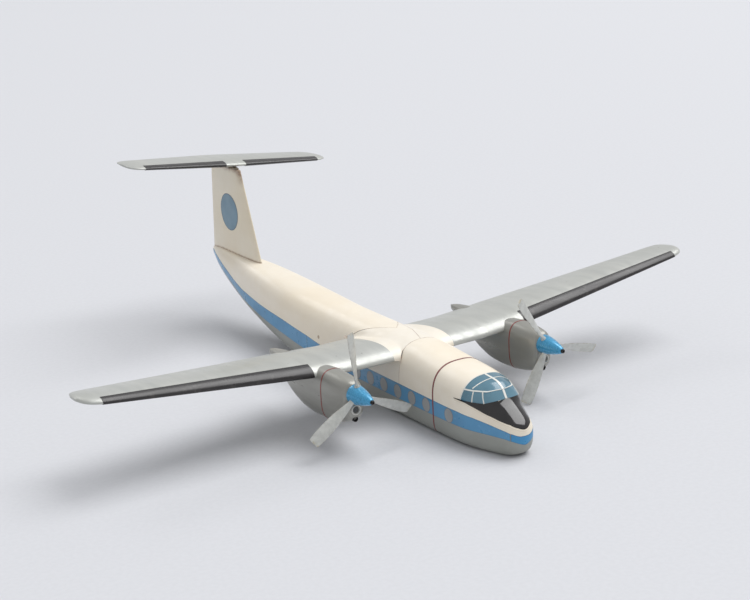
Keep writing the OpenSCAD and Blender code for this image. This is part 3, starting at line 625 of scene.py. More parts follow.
def blade_paint(body_name, side):
    """Silver lacquer with worn edges and traces of yellow on the tip."""
    m = Shader(body_name + "_blade_silver", roughness=0.32, Metallic=0.45, Coat_Weight=0.2,
               Coat_Roughness=0.2)
    streaks = m.between(m.noise(0.35, 5), 0.3, 0.72)
    colour = m.mix(streaks, linear(206, 207, 202), linear(188, 189, 184))
    x = m.math("SUBTRACT", m.axis("X"), side * ENGINE_X * MM)
    z = m.math("SUBTRACT", m.axis("Z"), AXIS_Z * MM)
    out = m.math("SQRT", m.math("ADD", m.math("MULTIPLY", x, x), m.math("MULTIPLY", z, z)))
    tip = m.between(out, 0.955 * PROP_R * MM, 0.99 * PROP_R * MM)
    tip = m.math("MULTIPLY", tip, m.between(m.noise(0.5, 4), 0.45, 0.55))
    colour = m.mix(m.math("MULTIPLY", tip, 0.3), colour, linear(186, 168, 110))
    wear = m.math("MULTIPLY", m.field("edge"), m.between(m.noise(0.6, 4), 0.4, 0.65))
    m.colour(m.mix(m.math("MULTIPLY", wear, 0.7), colour, linear(142, 128, 104)))
    m.rough(m.between(m.noise(0.3, 4), 0.3, 0.7, 0.28, 0.46))
    m.bump(m.noise(0.4, 3), 0.015)
    return m.material


def worn_steel(name, base=(70, 68, 68), roughness=0.35):
    m = Shader(name, roughness=roughness, Metallic=0.85)
    colour = m.mix(m.between(m.noise(0.8, 5), 0.35, 0.7), linear(*base), linear(*(b // 2 for b in base)))
    m.colour(colour)
    m.rough(m.between(m.noise(1.0, 4), 0.3, 0.7, roughness - 0.08, roughness + 0.18))
    m.bump(m.noise(1.2, 3), 0.01)
    return m.material


def plain_stuff(name, light, dark, roughness, per_mm=0.5):
    """Rough mottled stuff: glue, wood, brass or grey mesh."""
    m = Shader(name, roughness=roughness)
    m.colour(m.mix(m.between(m.noise(per_mm, 5, 0.65), 0.3, 0.7), linear(*light), linear(*dark)))
    m.rough(m.between(m.noise(per_mm * 2, 4), 0.3, 0.7, roughness - 0.1, roughness + 0.15))
    m.bump(m.noise(per_mm * 1.5, 4), 0.05)
    return m.material


def glue_stuff():
    """Hardened glue: dirty grey-brown, rusty in patches, with a waxy gloss."""
    m = Shader("joint_glue", roughness=0.45, Coat_Weight=0.3, Coat_Roughness=0.3)
    colour = m.mix(m.between(m.noise(0.3, 5), 0.3, 0.7), linear(150, 138, 120), linear(98, 84, 68))
    m.colour(m.mix(m.between(m.noise(0.18, 4), 0.5, 0.66), colour, linear(124, 66, 34)))
    m.rough(m.between(m.noise(0.6, 4), 0.3, 0.7, 0.3, 0.6))
    m.bump(m.noise(0.7, 5), 0.15)
    return m.material


CREAM = cream_paint("cream_paint", base=(246, 237, 221))
ROOT_CREAM = cream_paint("root_cream_paint", base=(244, 237, 224), specks=0.03)
FIN_CREAM = cream_paint("fin_cream_paint", base=(238, 229, 210), dirt=0.9)
BELLY = satin_paint("belly_grey_paint", (158, 160, 154), streak=(8, 8, 8), roughness=0.4, stretch=(1, 0.3, 1))
SILVER = satin_paint("wing_silver_paint", (194, 195, 190), roughness=0.36, metallic=0.35)
TAIL_SILVER = satin_paint("tail_silver_paint", (194, 195, 190), roughness=0.36, metallic=0.35)
NACELLE_SILVER = satin_paint("nacelle_silver_paint", (164, 163, 157), streak=(14, 14, 14), roughness=0.34,
                               metallic=0.4)
STRIPE_BLUE = film_paint("stripe_blue", (84, 150, 194), edge=(72, 92, 104), door_lines=(187.7, 273.5))
NOSE_BLUE = film_paint("nose_blue", (56, 142, 194), edge=(60, 84, 100))
BAND_RED = film_paint("band_red", (142, 62, 56), roughness=0.4)
WINDOW_GREY = film_paint("window_grey", (158, 160, 160), edge=(92, 96, 100), roughness=0.4)
PANEL_BLACK = panel_paint()
PANE_TEAL = film_paint("pane_teal", (98, 138, 156), edge=(70, 100, 116), roughness=0.2, mottled=22, coat=0.5)
FRAME_WHITE = film_paint("frame_white", (238, 238, 232), edge=(214, 214, 206), roughness=0.4, mottled=6)
# Cream of the thin strip along the anti-glare panel's lower edge: a painted highlight, with a darker tan
# border
PAINTED_HIGHLIGHT_CREAM = film_paint("painted_highlight_cream", (246, 238, 222), edge=(214, 200, 174), roughness=0.35, mottled=6)
ROUNDEL_BLUE = film_paint("roundel_blue", (106, 140, 160), edge=(66, 88, 102), roughness=0.42, mottled=14)
BOOT_BLACK = boot_film()
SPINNER_BLUE = spinner_paint()
PIN_STEEL = worn_steel("pin_steel")
LIP_GREY = satin_paint("lip_grey", (206, 204, 198), roughness=0.38)
MESH_GREY = plain_stuff("mesh_grey", (96, 98, 98), (60, 61, 62), 0.6, per_mm=1.2)
# Near-black of the drain pipe: painted shade for the dark round hole under the intake
PAINTED_SHADE_DRAIN = plain_stuff("drain_painted_shade", (30, 29, 29), (14, 13, 13), 0.4)
WOOD = plain_stuff("rod_wood", (190, 150, 100), (140, 100, 60), 0.6)
BRASS = worn_steel("socket_brass", base=(190, 150, 80), roughness=0.3)
GLUE = glue_stuff()


# ---- fuselage ----

GROOVE_STEPS = [1.2, 0.6, 0.35, 0.2, 0.1, 0]
GROOVE_DEPTH = 0.12
GROOVE_WIDTH = 0.25
SKIRT_DEPTH = 1.5


def groove(distance):
    """How far the surface falls away at this distance from a seam."""
    return GROOVE_DEPTH * np.clip(1 - distance / GROOVE_WIDTH, 0, 1) ** 2


def seam_dirt(distance):
    return np.exp(-(np.maximum(distance, 0) / 0.2) ** 2)


def hull_stations():
    """Stations gathered at the nose, where the sections change fastest."""
    nose = 20 * np.linspace(0, 1, 70) ** 2
    return np.concatenate([nose, np.arange(20.6, 44, 0.6), np.arange(44, 320, 2.0),
                           np.arange(320, 333.9, 0.7), [TAIL_END]])


# Lowest height of the joint between the belly and the upper body
JOINT_LOW_Z = 12.2


def joint_height(s):
    """Height at a station where the belly meets the upper body."""
    return max(float(table_line(STRIPE_TOP, s)), JOINT_LOW_Z)


UPPER_SHARES = np.linspace(0, 1, 121)
LOWER_SHARES = np.linspace(0, 1, 101)
STATIONS = hull_stations()
UPPER = np.array([hull_arc(s, joint_height(s), UPPER_SHARES) for s in STATIONS])
LOWER = np.array([hull_arc(s, joint_height(s), LOWER_SHARES, False) for s in STATIONS])


def upper_at(k, s):
    """Point of the upper surface's column k at stations s."""
    return np.stack([np.interp(s, STATIONS, UPPER[:, k, i]) for i in range(3)], -1)


def upper_rows(front, aft):
    """Grid of the upper surface whose rows run from front(x) to aft(x), with extra rows near both
    ends, and the distance of each point from the nearer end."""
    columns, gaps = [], []
    middle = int(np.searchsorted(STATIONS, 90))
    for k in range(len(UPPER_SHARES)):
        x = abs(UPPER[middle, k, 0])
        s0, s1 = front(x), aft(x)
        rows = row_stations(s0, s1)
        columns.append(upper_at(k, rows))
        gaps.append(np.minimum(rows - s0 if s0 > 1 else 99, s1 - rows if s1 < TAIL_END - 1 else 99))
    return np.stack(columns, 1), np.stack(gaps, 1)


def row_stations(s0, s1):
    """The same number of stations for every column, from s0 to s1, with the groove's close rows at a seam."""
    steps = np.array(GROOVE_STEPS)
    if s0 < 1:
        body = STATIONS[STATIONS < 80]
        return np.concatenate([body, np.linspace(80, s1 - 1.6, 8), s1 - steps])
    body = STATIONS[STATIONS > 150]
    return np.concatenate([(s0 + steps)[::-1], np.linspace(s0 + 2, 148, 14), body])


def sunk_rows(grid, gaps, inside):
    """The grid with its grooves cut in."""
    return grid - grid_normals(grid, inside) * groove(gaps)[..., None]


def shell(name, grid, gaps, inside, skirts, **how):
    """Open surface with a skirt that turns in under the edges named in skirts."""
    grid = sunk_rows(grid, gaps, inside)
    normal = grid_normals(grid, inside)
    dirt = seam_dirt(gaps)
    m, n = grid.shape[:2]
    verts, field = [grid.reshape(-1, 3)], [dirt.ravel()]
    flip = outward_sign(grid, inside) < 0
    faces = grid_faces(m, n, flip=flip)
    start = m * n
    borders = {"front": list(range(n)), "aft": [(m - 1) * n + k for k in range(n - 1, -1, -1)],
               "first": [j * n for j in range(m - 1, -1, -1)]}
    flat, flat_normal = grid.reshape(-1, 3), normal.reshape(-1, 3)
    for border in skirts:
        run = borders[border]
        verts.append(flat[run] - flat_normal[run] * SKIRT_DEPTH)
        field.append(np.ones(len(run)))
        for i in range(len(run) - 1):
            quad = [run[i], run[i + 1], start + i + 1, start + i]
            faces.append(quad[::-1] if flip else quad)
        start += len(run)
    return new_piece(name, np.concatenate(verts), faces, fields={"dirt": np.concatenate(field)}, **how)


def fuselage():
    lower_gap = np.full(LOWER.shape[:2], 99.0)
    shell("lower_body", LOWER, lower_gap, axis_points(LOWER, z=14), ["aft"], slot="lower_body",
          material=BELLY)
    grid, gaps = upper_rows(lambda x: 0, lambda x: float(table_line(SEAM_FRONT, x)))
    shell("forward_upper_body", grid, gaps, axis_points(grid, z=14), ["aft"], slot="forward_upper_body",
          material=CREAM)
    grid, gaps = upper_rows(lambda x: float(table_line(SEAM_AFT, x)), lambda x: TAIL_END)
    shell("aft_upper_body", grid, gaps, axis_points(grid, z=30), ["front", "aft"],
          slot="aft_upper_body", material=CREAM)


# ---- wing ----

def foil(u):
    return 1.01 * (2.969 * np.sqrt(u) - 1.26 * u - 3.516 * u**2 + 2.843 * u**3 - 1.036 * u**4)


def wing_rise(x, side):
    if x < LEVEL_X:
        return WING_Z
    if x < WING_BREAK:
        return WING_Z + BREAK_RISE * (x - LEVEL_X) / (WING_BREAK - LEVEL_X)
    return WING_Z + BREAK_RISE + (x - WING_BREAK) * math.tan(math.radians(DIHEDRAL[side]))


TIP_START = 186.5
TIP_RUN = 10.1
WING_TIP = [Smooth(WING[6:], c) for c in range(1, 5)]


def wing_values(x):
    """Leading edge, trailing edge, and heights above and below the chord, x from the centreline."""
    if x > TIP_START:
        return [float(c(x)) for c in WING_TIP]
    return [float(np.interp(x, [r[0] for r in WING], [r[c] for r in WING])) for c in range(1, 5)]


def foil_loop(points):
    """Chordwise shares from the trailing edge over the top to the leading edge and back underneath."""
    u = (1 - np.cos(np.linspace(0, math.pi, points))) / 2
    return np.concatenate([u[::-1], u[1:]]), np.concatenate([np.ones(points), -np.ones(points - 1)])


def section_points(x, side, lead, trail, up, down, rise, shares, faces_up):
    height = np.where(faces_up > 0, up * foil(shares) + EDGE_HALF * shares,
                      -down * foil(shares) - EDGE_HALF * shares)
    y = station_y(lead + (trail - lead) * shares)
    return np.stack([np.full_like(shares, side * x), y, rise + height], -1)


def wing_ring(x, side, shares, faces_up):
    lead, trail, up, down = wing_values(x)
    return section_points(x, side, lead, trail, up, down, wing_rise(x, side), shares, faces_up)


def wing_stations():
    return np.concatenate([np.linspace(ROOT_X, LEVEL_X, 8), np.linspace(43, 61.5, 8), [64, 66.5, 69.2],
                           np.linspace(72, TIP_START, 44),
                           TIP_START + TIP_RUN * np.sin(np.linspace(0.1, math.pi / 2, 16))])


def foil_middles(grid):
    """Points inside a wing, level with each point and on its chord plane."""
    inside = np.array(grid)
    inside[..., 1] = grid[..., 1].mean(1, keepdims=True) + 10
    inside[..., 2] = grid[..., 2].mean(1, keepdims=True)
    return inside


BOOT_SHARE_UP = 0.146
BOOT_SHARE_DOWN = 0.067


def boot_loop(count=13):
    """Shares and faces of a strip that wraps the leading edge, from the top aft round to the underside."""
    up = BOOT_SHARE_UP * np.linspace(1, 0, count) ** 2
    down = BOOT_SHARE_DOWN * np.linspace(0, 1, count)[1:] ** 2
    return np.concatenate([up, down]), np.concatenate([np.ones(count), -np.ones(count - 1)])


def edge_field(grid, width=0.25):
    """1 along a grid's border, falling to 0 within a width."""
    def walk(g):
        step = np.linalg.norm(np.diff(g, axis=0), axis=-1)
        return np.concatenate([np.zeros((1, g.shape[1])), np.cumsum(step, 0)])
    along = walk(grid)
    across = walk(grid.swapaxes(0, 1)).swapaxes(0, 1)
    gap = np.minimum(np.minimum(along, along[-1:] - along), np.minimum(across, across[:, -1:] - across))
    return np.clip(1 - gap / width, 0, 1)


def close_rows(values, width=0.25):
    """Values with a further one close inside each end, so that an edge line stays narrow."""
    values = list(values)
    direction = 1 if values[-1] > values[0] else -1
    return np.array([values[0], values[0] + direction * width] + values[1:-1]
                    + [values[-1] - direction * width, values[-1]])


def boot(name, ring, stations, slot_name):
    shares, faces_up = boot_loop()
    grid = np.array([ring(x, shares, faces_up) for x in close_rows(stations)])
    film(name, [grid], 0.2, inside=foil_middles, fields={"edge": [edge_field(grid, 0.4)]},
         slot=slot_name, material=BOOT_BLACK)


def wing(side_name, side):
    shares, faces_up = foil_loop(56)
    rings = [wing_ring(x, side, shares, faces_up) for x in wing_stations()]
    closed_loft(side_name + "_wing", rings, slot="wing", material=SILVER)
    boot(side_name + "_wing_boot", lambda x, u, f: wing_ring(x, side, u, f),
         np.linspace(*WING_BOOT, 60), "wing_boot")


def smooth_max(a, b, radius):
    h = np.clip(0.5 + 0.5 * (a - b) / radius, 0, 1)
    return b * (1 - h) + a * h + radius * h * (1 - h)


ROOT_COLUMNS = 56
ROOT_SIDE_COLUMNS = 22
# Height at which the fuselage's side turns over into its crown
SHOULDER_Z = 32


def root_edges(share, side):
    """Front and aft stations of a wing root block, at a share of the way from middle seam to wing."""
    front = float(table_line(SEAM_FRONT, share * ROOT_X))
    aft = 130.0
    for _ in range(60):
        aft = float(table_line(SEAM_AFT, abs(root_out(share, aft, side))))
    return front, aft


def root_out(share, s, side):
    """Distance out from the centreline at a share of the way from the middle seam to the wing."""
    middle = side * table_line(SEAM_MIDDLE, s)
    return middle + (ROOT_X - middle) * share


def wing_root(side_name, side):
    """Block between the seams: the crown swells into the wing's root section, with a stub to the wing."""
    steps = np.array(GROOVE_STEPS)
    share = 1 - (1 - np.linspace(0, 1, ROOT_COLUMNS)) ** 1.5
    shares = np.concatenate([steps[::-1] / ROOT_X, share[share > 0.08]])
    lead, trail, up, down = wing_values(ROOT_X)
    columns, gaps = [], []

    def rows(s0, s1):
        near_lead = np.clip(lead + np.array([0.02, 0.1, 0.3, 0.6, 1.0, 1.5]), s0, s1)
        between = np.linspace(s0 + 1.5, s1 - 1.5, 60)
        return np.sort(np.concatenate([s0 + steps, between, near_lead, s1 - steps]))

    def in_chord(s):
        return (s > lead) & (s < trail)

    def chord_share(s):
        return np.clip((s - lead) / (trail - lead), 0, 1)

    for share in shares:
        s0, s1 = root_edges(share, side)
        s = rows(s0, s1)
        out = root_out(share, s, side)
        x = np.where(in_chord(s), out, np.minimum(out, hull_x(s, SHOULDER_Z)))
        over = np.where(in_chord(s), WING_Z + up * foil(chord_share(s)) + EDGE_HALF * chord_share(s), 0)
        z = smooth_max(crown_z(s, x), over, 1.6)
        columns.append(np.stack([side * x, station_y(s), z], -1))
        gaps.append(np.minimum(np.minimum(s - s0, s1 - s), share * ROOT_X))
    s0, s1 = root_edges(1, side)
    s = rows(s0, s1)
    under = WING_Z - down * foil(chord_share(s)) - EDGE_HALF * chord_share(s)
    top_edge = np.where(in_chord(s), under, SHOULDER_Z)
    low_edge = table_line(STRIPE_TOP, s)
    for v in np.linspace(0, 1, ROOT_SIDE_COLUMNS):
        z = top_edge + (low_edge - top_edge) * v
        x = np.where(in_chord(s) & (v == 0), ROOT_X - 0.05, hull_x(s, z))
        columns.append(np.stack([side * x, station_y(s), z], -1))
        gaps.append(np.minimum(s - s0, s1 - s))
    grid, gap = np.stack(columns, 1), np.stack(gaps, 1)
    inside = axis_points(grid, x=side * 8, z=26)
    shell(side_name + "_wing_root", grid, gap, inside, ["front", "aft", "first"], slot="wing_root",
          material=ROOT_CREAM)


# ---- applied films on the fuselage ----

STRIPE_THICK = 0.07
# Lower edge of the chevron: height at the very tip, and rise with the square root of the station
CHEVRON_TIP_Z = 6.3
CHEVRON_SWEEP = 2.19


def stripe_grid(side, stations, rows=16):
    columns = []
    for s in stations:
        low = max(float(table_line(STRIPE_BOTTOM, s)), float(hull_values(s)[1]) + 0.3)
        high = float(table_line(STRIPE_TOP, s))
        columns.append(hull_points(side, s, close_rows(np.linspace(low, high, rows))))
    return np.array(columns)


def stripes(side_name, side):
    grids = []
    for s0, s1 in ((NOSE_JOINT + 0.2, BAND_STATION - BAND_W / 2), (BAND_STATION + BAND_W / 2, 333)):
        inner = STATIONS[(STATIONS > s0 + 0.5) & (STATIONS < s1 - 0.5)]
        grids.append(stripe_grid(side, close_rows(np.concatenate([[s0], inner, [s1]]))))
    film(side_name + "_stripe", grids, STRIPE_THICK, fields={"edge": [edge_field(g) for g in grids]},
         slot="stripe", material=STRIPE_BLUE)


def nose_wrap(turn, centre, z):
    """Surface points at height z where a level ray from the centreline at a station leaves the
    nose. Turn 0 looks forward, and a positive turn looks to port."""
    low, high = np.zeros_like(z), np.full_like(z, 30.0)
    for _ in range(40):
        r = (low + high) / 2
        outside = r * np.abs(np.sin(turn)) >= hull_x(centre - r * np.cos(turn), z)
        low, high = np.where(outside, low, r), np.where(outside, r, high)
    return np.stack([high * np.sin(turn), station_y(centre - high * np.cos(turn)), z], -1)


def wrap_grid(turns, centre, height, shares):
    """Grid round the nose with rows at turns and columns at shares of height(station, share)."""
    turn, share = np.meshgrid(turns, shares, indexing="ij")
    s = np.full_like(turn, 1.5)
    for _ in range(30):
        grid = nose_wrap(turn, centre, height(np.maximum(s, 0), share))
        s = 0.5 * s + 0.5 * (grid[..., 1] + SOCKET_STATION)
    return grid


def chevron_height(s, share):
    low = np.where(s < 2.4, CHEVRON_TIP_Z + CHEVRON_SWEEP * np.sqrt(s), table_line(STRIPE_BOTTOM, s))
    return low + (table_line(STRIPE_TOP, s) - low) * share


def nose_chevron():
    turns = np.radians(close_rows(np.linspace(-90, 90, 61), 2))
    grid = wrap_grid(turns, NOSE_JOINT, chevron_height, close_rows(np.linspace(0, 1, 18), 0.03))
    film("nose_stripe", [grid], STRIPE_THICK + 0.02, inside=lambda g: axis_points(g, z=12) + [0, 8, 0],
         fields={"edge": [edge_field(grid)]}, slot="nose_stripe", material=NOSE_BLUE)


def oval_grid(side, s0, width, height, rings=8, turns=48):
    """Disc grid of rings round a middle: rows are turns, columns run from the middle out."""
    grid = []
    for t in range(turns + 1):
        a = 2 * math.pi * t / turns
        r = np.concatenate([np.linspace(0.02, 0.88, rings), [1]])
        s = s0 + width / 2 * r * math.cos(a)
        z = WINDOW_Z + height / 2 * r * math.sin(a)
        grid.append(hull_points(side, s, z))
    return np.array(grid)


def radial_edge(grid):
    """1 at a disc grid's outer column and 0 within it."""
    field = np.zeros(grid.shape[:2])
    field[:, -1] = 1
    return field


def windows(side_name, side):
    panes = [oval_grid(side, s, WINDOW_W, WINDOW_H) for s in WINDOW_STATIONS]
    film(side_name + "_windows", panes, STRIPE_THICK + 0.07,
         fields={"edge": [radial_edge(g) for g in panes]}, slot="windows", material=WINDOW_GREY)


def body_band():
    rows = []
    for s in np.linspace(BAND_STATION - BAND_W / 2, BAND_STATION + BAND_W / 2, 5):
        rows.append(hull_arc(s, 0.9, np.linspace(0, 1, 160)))
    grid = np.array(rows)
    film("body_band", [grid], 0.1, fields={"edge": [edge_field(grid, 0.15)]}, slot="body_band",
         material=BAND_RED)


# ---- nose: anti-glare panel and windscreen ----

# First station of the panel on the crown, and how far it runs aft to the windscreen
PANEL_FRONT = 0.265
PANEL_RUN = 15.37
# Stations between which the panel's tongues lie, and where they start to narrow
TONGUE = (15.2, 39)
TONGUE_NARROWS = 33


def panel_grid():
    """Crown of the nose from the tip to the windscreen, between the panel's lower edges."""
    rows = []
    for s in PANEL_FRONT + PANEL_RUN * np.linspace(0, 1, 60) ** 2:
        z_edge = min(float(table_line(PANEL_EDGE, s)), float(hull_values(s)[2]) - 0.003)
        rows.append(hull_arc(s, z_edge, close_rows(np.linspace(0, 1, 61), 0.01)))
    return np.array(rows)


def panel_wing(side):
    """Tongue of the panel that runs aft below the windscreen."""
    columns = []
    for s in np.linspace(*TONGUE, 48):
        top = min(float(table_line(SCREEN_BASE, s)) + 0.1, float(hull_values(s)[2]) - 0.02)
        low = float(table_line(PANEL_EDGE, s))
        narrowing = 1 - 0.5 * max(0, (s - TONGUE_NARROWS) / (TONGUE[1] - TONGUE_NARROWS))
        columns.append(hull_points(side, s, np.linspace(low, low + (top - low) * narrowing + 0.02, 18)))
    return np.array(columns)


# Middle station and width of the pale strip under the anti-glare panel's edge, a painted highlight where that
# edge catches the light
HIGHLIGHT_CENTRE = 6
HIGHLIGHT_WIDTH = 0.8


def highlight_height(s, share):
    return table_line(PANEL_EDGE, s) + 0.05 - HIGHLIGHT_WIDTH * (1 - share)


def antiglare_panel():
    grids = [panel_grid(), panel_wing(-1), panel_wing(1)]
    film("antiglare_panel", grids, 0.08, fields={"edge": [edge_field(g) for g in grids]},
         slot="antiglare_panel", material=PANEL_BLACK)
    # Pale strip along the panel's lower edge and round the nose: a painted highlight where the edge catches
    # the light
    shares = np.array([0, 0.06, 0.5, 0.94, 1])
    front = wrap_grid(np.radians(np.linspace(-90, 90, 90)), HIGHLIGHT_CENTRE, highlight_height, shares)
    aft = np.linspace(HIGHLIGHT_CENTRE, 38, 60)[1:]
    sides = [np.array([hull_points(side, s, highlight_height(s, shares)) for s in aft]) for side in (-1, 1)]
    highlight_strip = np.concatenate([sides[0][::-1], front, sides[1]])
    film("antiglare_painted_highlight", [highlight_strip], 0.1, fields={"edge": [edge_field(highlight_strip, 0.2)]}, slot="forward_upper_body",
         material=PAINTED_HIGHLIGHT_CREAM)


def screen_grid(stations, columns=90):
    return np.array([hull_arc(s, min(float(table_line(SCREEN_BASE, s)), float(hull_values(s)[2]) - 0.15),
                              np.linspace(0, 1, columns)) for s in stations])


def glazing():
    grid = screen_grid(close_rows(np.linspace(SCREEN_FRONT, SCREEN_REAR, 48)))
    film("windscreen_panes", [grid], 0.1, fields={"edge": [edge_field(grid, 0.5)]},
         slot="windscreen_panes", material=PANE_TEAL)


def bar_between(points, half):
    """Grid of a thin bar along a line of surface points, given as [x, station, z] rows."""
    line = np.array(points, float)
    inside = axis_points(line, z=22)
    along = np.gradient(line, axis=0)
    out = line - inside
    across = np.cross(along, out)
    across /= np.linalg.norm(across, axis=1, keepdims=True)
    return np.stack([line - across * half, line - across * half * 0.4, line + across * half * 0.4,
                     line + across * half], 1)


# Posts of the windscreen: station at the rail and at the base
POSTS = ((28, 26.5), (23.3, 20))
RAIL_HALF = 0.4
ARCH_CENTRE = 27.2
ARCH_SWEEP = 2.1
ARCH_OUT = 11.3


def screen_bars():
    """Lines of surface points along the frame's bars, each with half its width."""
    rail_start = rail_top_station()
    run = rail_start + (SCREEN_REAR - rail_start) * np.linspace(0.0005, 1, 40) ** 2
    rail = np.concatenate([hull_points(-1, run[::-1], table_line(RAIL, run[::-1])),
                           hull_points(1, run, table_line(RAIL, run))])
    bars = [(rail, RAIL_HALF)]
    centre = np.linspace(SCREEN_FRONT, SCREEN_REAR, 40)
    bars.append((np.stack([0 * centre, station_y(centre), crown_z(centre, 0)], -1), 0.65))
    x = np.linspace(-ARCH_OUT, ARCH_OUT, 60)
    arch = ARCH_CENTRE + ARCH_SWEEP * (x / ARCH_OUT) ** 2
    bars.append((np.stack([x, station_y(arch), crown_z(arch, x)], -1), 0.36))
    rear = SCREEN_REAR - 0.35
    bars.append((hull_arc(rear, float(table_line(SCREEN_BASE, rear)), np.linspace(0, 1, 70)), 0.35))
    for side in (-1, 1):
        for at_rail, at_base in POSTS:
            s = np.linspace(at_rail, at_base, 14)
            high, low = table_line(RAIL, at_rail), table_line(SCREEN_BASE, at_base)
            bars.append((hull_points(side, s, np.linspace(high, low, 14)), RAIL_HALF))
    return bars


def rail_top_station():
    """Station at which the fuselage's top reaches the rail."""
    s = np.linspace(15, 40, 3001)
    return float(s[np.argmax(hull_values(s)[2] > table_line(RAIL, s))])


def windscreen_frame():
    grids = [bar_between(line, half) for line, half in screen_bars()]
    film("windscreen_frame", grids, 0.2, fields={"edge": [edge_field(g, 0.05) for g in grids]},
         slot="windscreen_frame", material=FRAME_WHITE)


# ---- nacelles and propellers ----

NACELLE_CURVES = [Smooth(NACELLE, c) for c in range(1, 4)]
COWL_ROUND = 2.0
# How much narrower the cowl is at its very front
COWL_SHRINK = 0.7
# Station where the nacelle's tail starts to close, and how far it closes in
NACELLE_TAIL = 149
NACELLE_TAIL_RUN = 3.5


def nacelle_ring(s, side, turns=96):
    width, low, top = (float(c(s)) for c in NACELLE_CURVES)
    front = max(0.0, (NACELLE[0][0] + COWL_ROUND - s) / COWL_ROUND)
    shrink = COWL_SHRINK * (1 - math.sqrt(max(0.0, 1 - front**2)))
    rear = max(0.0, (s - NACELLE_TAIL) / NACELLE_TAIL_RUN)
    width, low, top = width - shrink, low + shrink, top - shrink
    width *= math.sqrt(max(0.02, 1 - rear**2)) if rear else 1
    a = 2 * math.pi * np.arange(turns) / turns
    e = 2 / NACELLE_SQUARE
    mid, half = (low + top) / 2, (top - low) / 2
    x = side * ENGINE_X + width * np.sign(np.cos(a)) * np.abs(np.cos(a)) ** e
    z = mid + half * np.sign(np.sin(a)) * np.abs(np.sin(a)) ** e
    ring = np.stack([x, np.full_like(x, station_y(s)), z], -1)
    return resample(np.concatenate([ring, ring[:1]]), np.arange(turns) / turns)


def nacelle(side_name, side):
    quarter = math.pi / 2
    stations = np.concatenate([
        NACELLE[0][0] + COWL_ROUND * (1 - np.cos(np.linspace(0, quarter, 10))),
        np.arange(66, NACELLE_TAIL, 1.0),
        NACELLE_TAIL + NACELLE_TAIL_RUN * np.sin(np.linspace(0, quarter, 12))])
    rings = [nacelle_ring(s, side) for s in stations]
    closed_loft(side_name + "_nacelle", rings, slot="nacelle", material=NACELLE_SILVER)
    band = np.array([nacelle_ring(s, side) for s in np.linspace(NACELLE_BAND - 0.4, NACELLE_BAND + 0.4, 4)])
    band = np.concatenate([band, band[:, :1]], 1)
    film(side_name + "_nacelle_band", [band], 0.1, inside=lambda g: axis_points(g, side * ENGINE_X, 26),
         fields={"edge": [np.zeros(band.shape[:2])]}, slot="nacelle_band", material=BAND_RED)


def rounded(points, radius=0.25, steps=4):
    """An outline with its inner corners rounded by short arcs."""
    out = [points[0]]
    for before, corner, after in zip(points, points[1:], points[2:]):
        c, a, b = (np.array(p, float) for p in (corner, before, after))
        r0 = min(radius, np.linalg.norm(a - c) * 0.45)
        r1 = min(radius, np.linalg.norm(b - c) * 0.45)
        p0, p1 = c + (a - c) / np.linalg.norm(a - c) * r0, c + (b - c) / np.linalg.norm(b - c) * r1
        for t in np.linspace(0, 1, steps + 1):
            out.append(list((1 - t) ** 2 * p0 + 2 * t * (1 - t) * c + t**2 * p1))
    return out + [points[-1]]


def chin_intake(side_name, side):
    at = (side * ENGINE_X, float(station_y(INTAKE_FRONT)), INTAKE_Z)
    outline = rounded([[0, 1.4], [INTAKE_R - 0.8, 1.4], [INTAKE_R - 0.8, 0.15], [INTAKE_R - 0.4, 0],
                       [INTAKE_R - 0.05, 0.35], [INTAKE_R, 3.9]], 0.3)
    lathe(side_name + "_intake_lip", outline, at, slot="intake_lip", material=LIP_GREY)
    mesh = rounded([[0, 0.95], [INTAKE_R - 1.05, 1.0], [INTAKE_R - 0.86, 1.2],
                    [INTAKE_R - 0.86, 1.5], [0, 1.5]], 0.1)
    lathe(side_name + "_intake_mesh", mesh, at, slot="intake_mesh", material=MESH_GREY)
    # The drain pipe's near-black colour is painted shade for its dark hole
    at = (side * ENGINE_X, float(station_y(DRAIN_FRONT)), DRAIN_Z)
    pipe = rounded([[0, 1.6], [1.1, 1.6], [1.1, 0.1], [1.3, 0], [1.5, 0.2], [1.5, 6.2], [0, 6.2]], 0.12)
    lathe(side_name + "_drain_pipe", pipe, at, turns=40, slot="drain_pipe", material=PAINTED_SHADE_DRAIN)


def spinner_radius(u):
    return SPINNER_NOSE_R + (SPINNER_R - SPINNER_NOSE_R) * (1 - u**1.5) ** 0.85


def blade_rings(count=44, turns=32):
    """Rings of an upright blade that stands on the axis, from its root pin to its tip."""
    curves = [Smooth(BLADE, c) for c in range(1, 4)]
    shares = np.concatenate([[0.065], spread(0.15, 0.985, count), [0.992, 0.997, 1]])
    rings = []
    for share in shares:
        chord, thick, pitch = (float(c(share)) for c in curves)
        a = 2 * math.pi * np.arange(turns) / turns
        lens = 1 if share < 0.18 else 0.75
        c = chord / 2 * np.cos(a)
        t = thick / 2 * np.sign(np.sin(a)) * np.abs(np.sin(a)) ** (2 - lens)
        p = math.radians(pitch)
        rings.append(np.stack([c * math.cos(p) - t * math.sin(p), c * math.sin(p) + t * math.cos(p),
                               np.full(turns, share * PROP_R)], -1))
    return np.array(rings), a


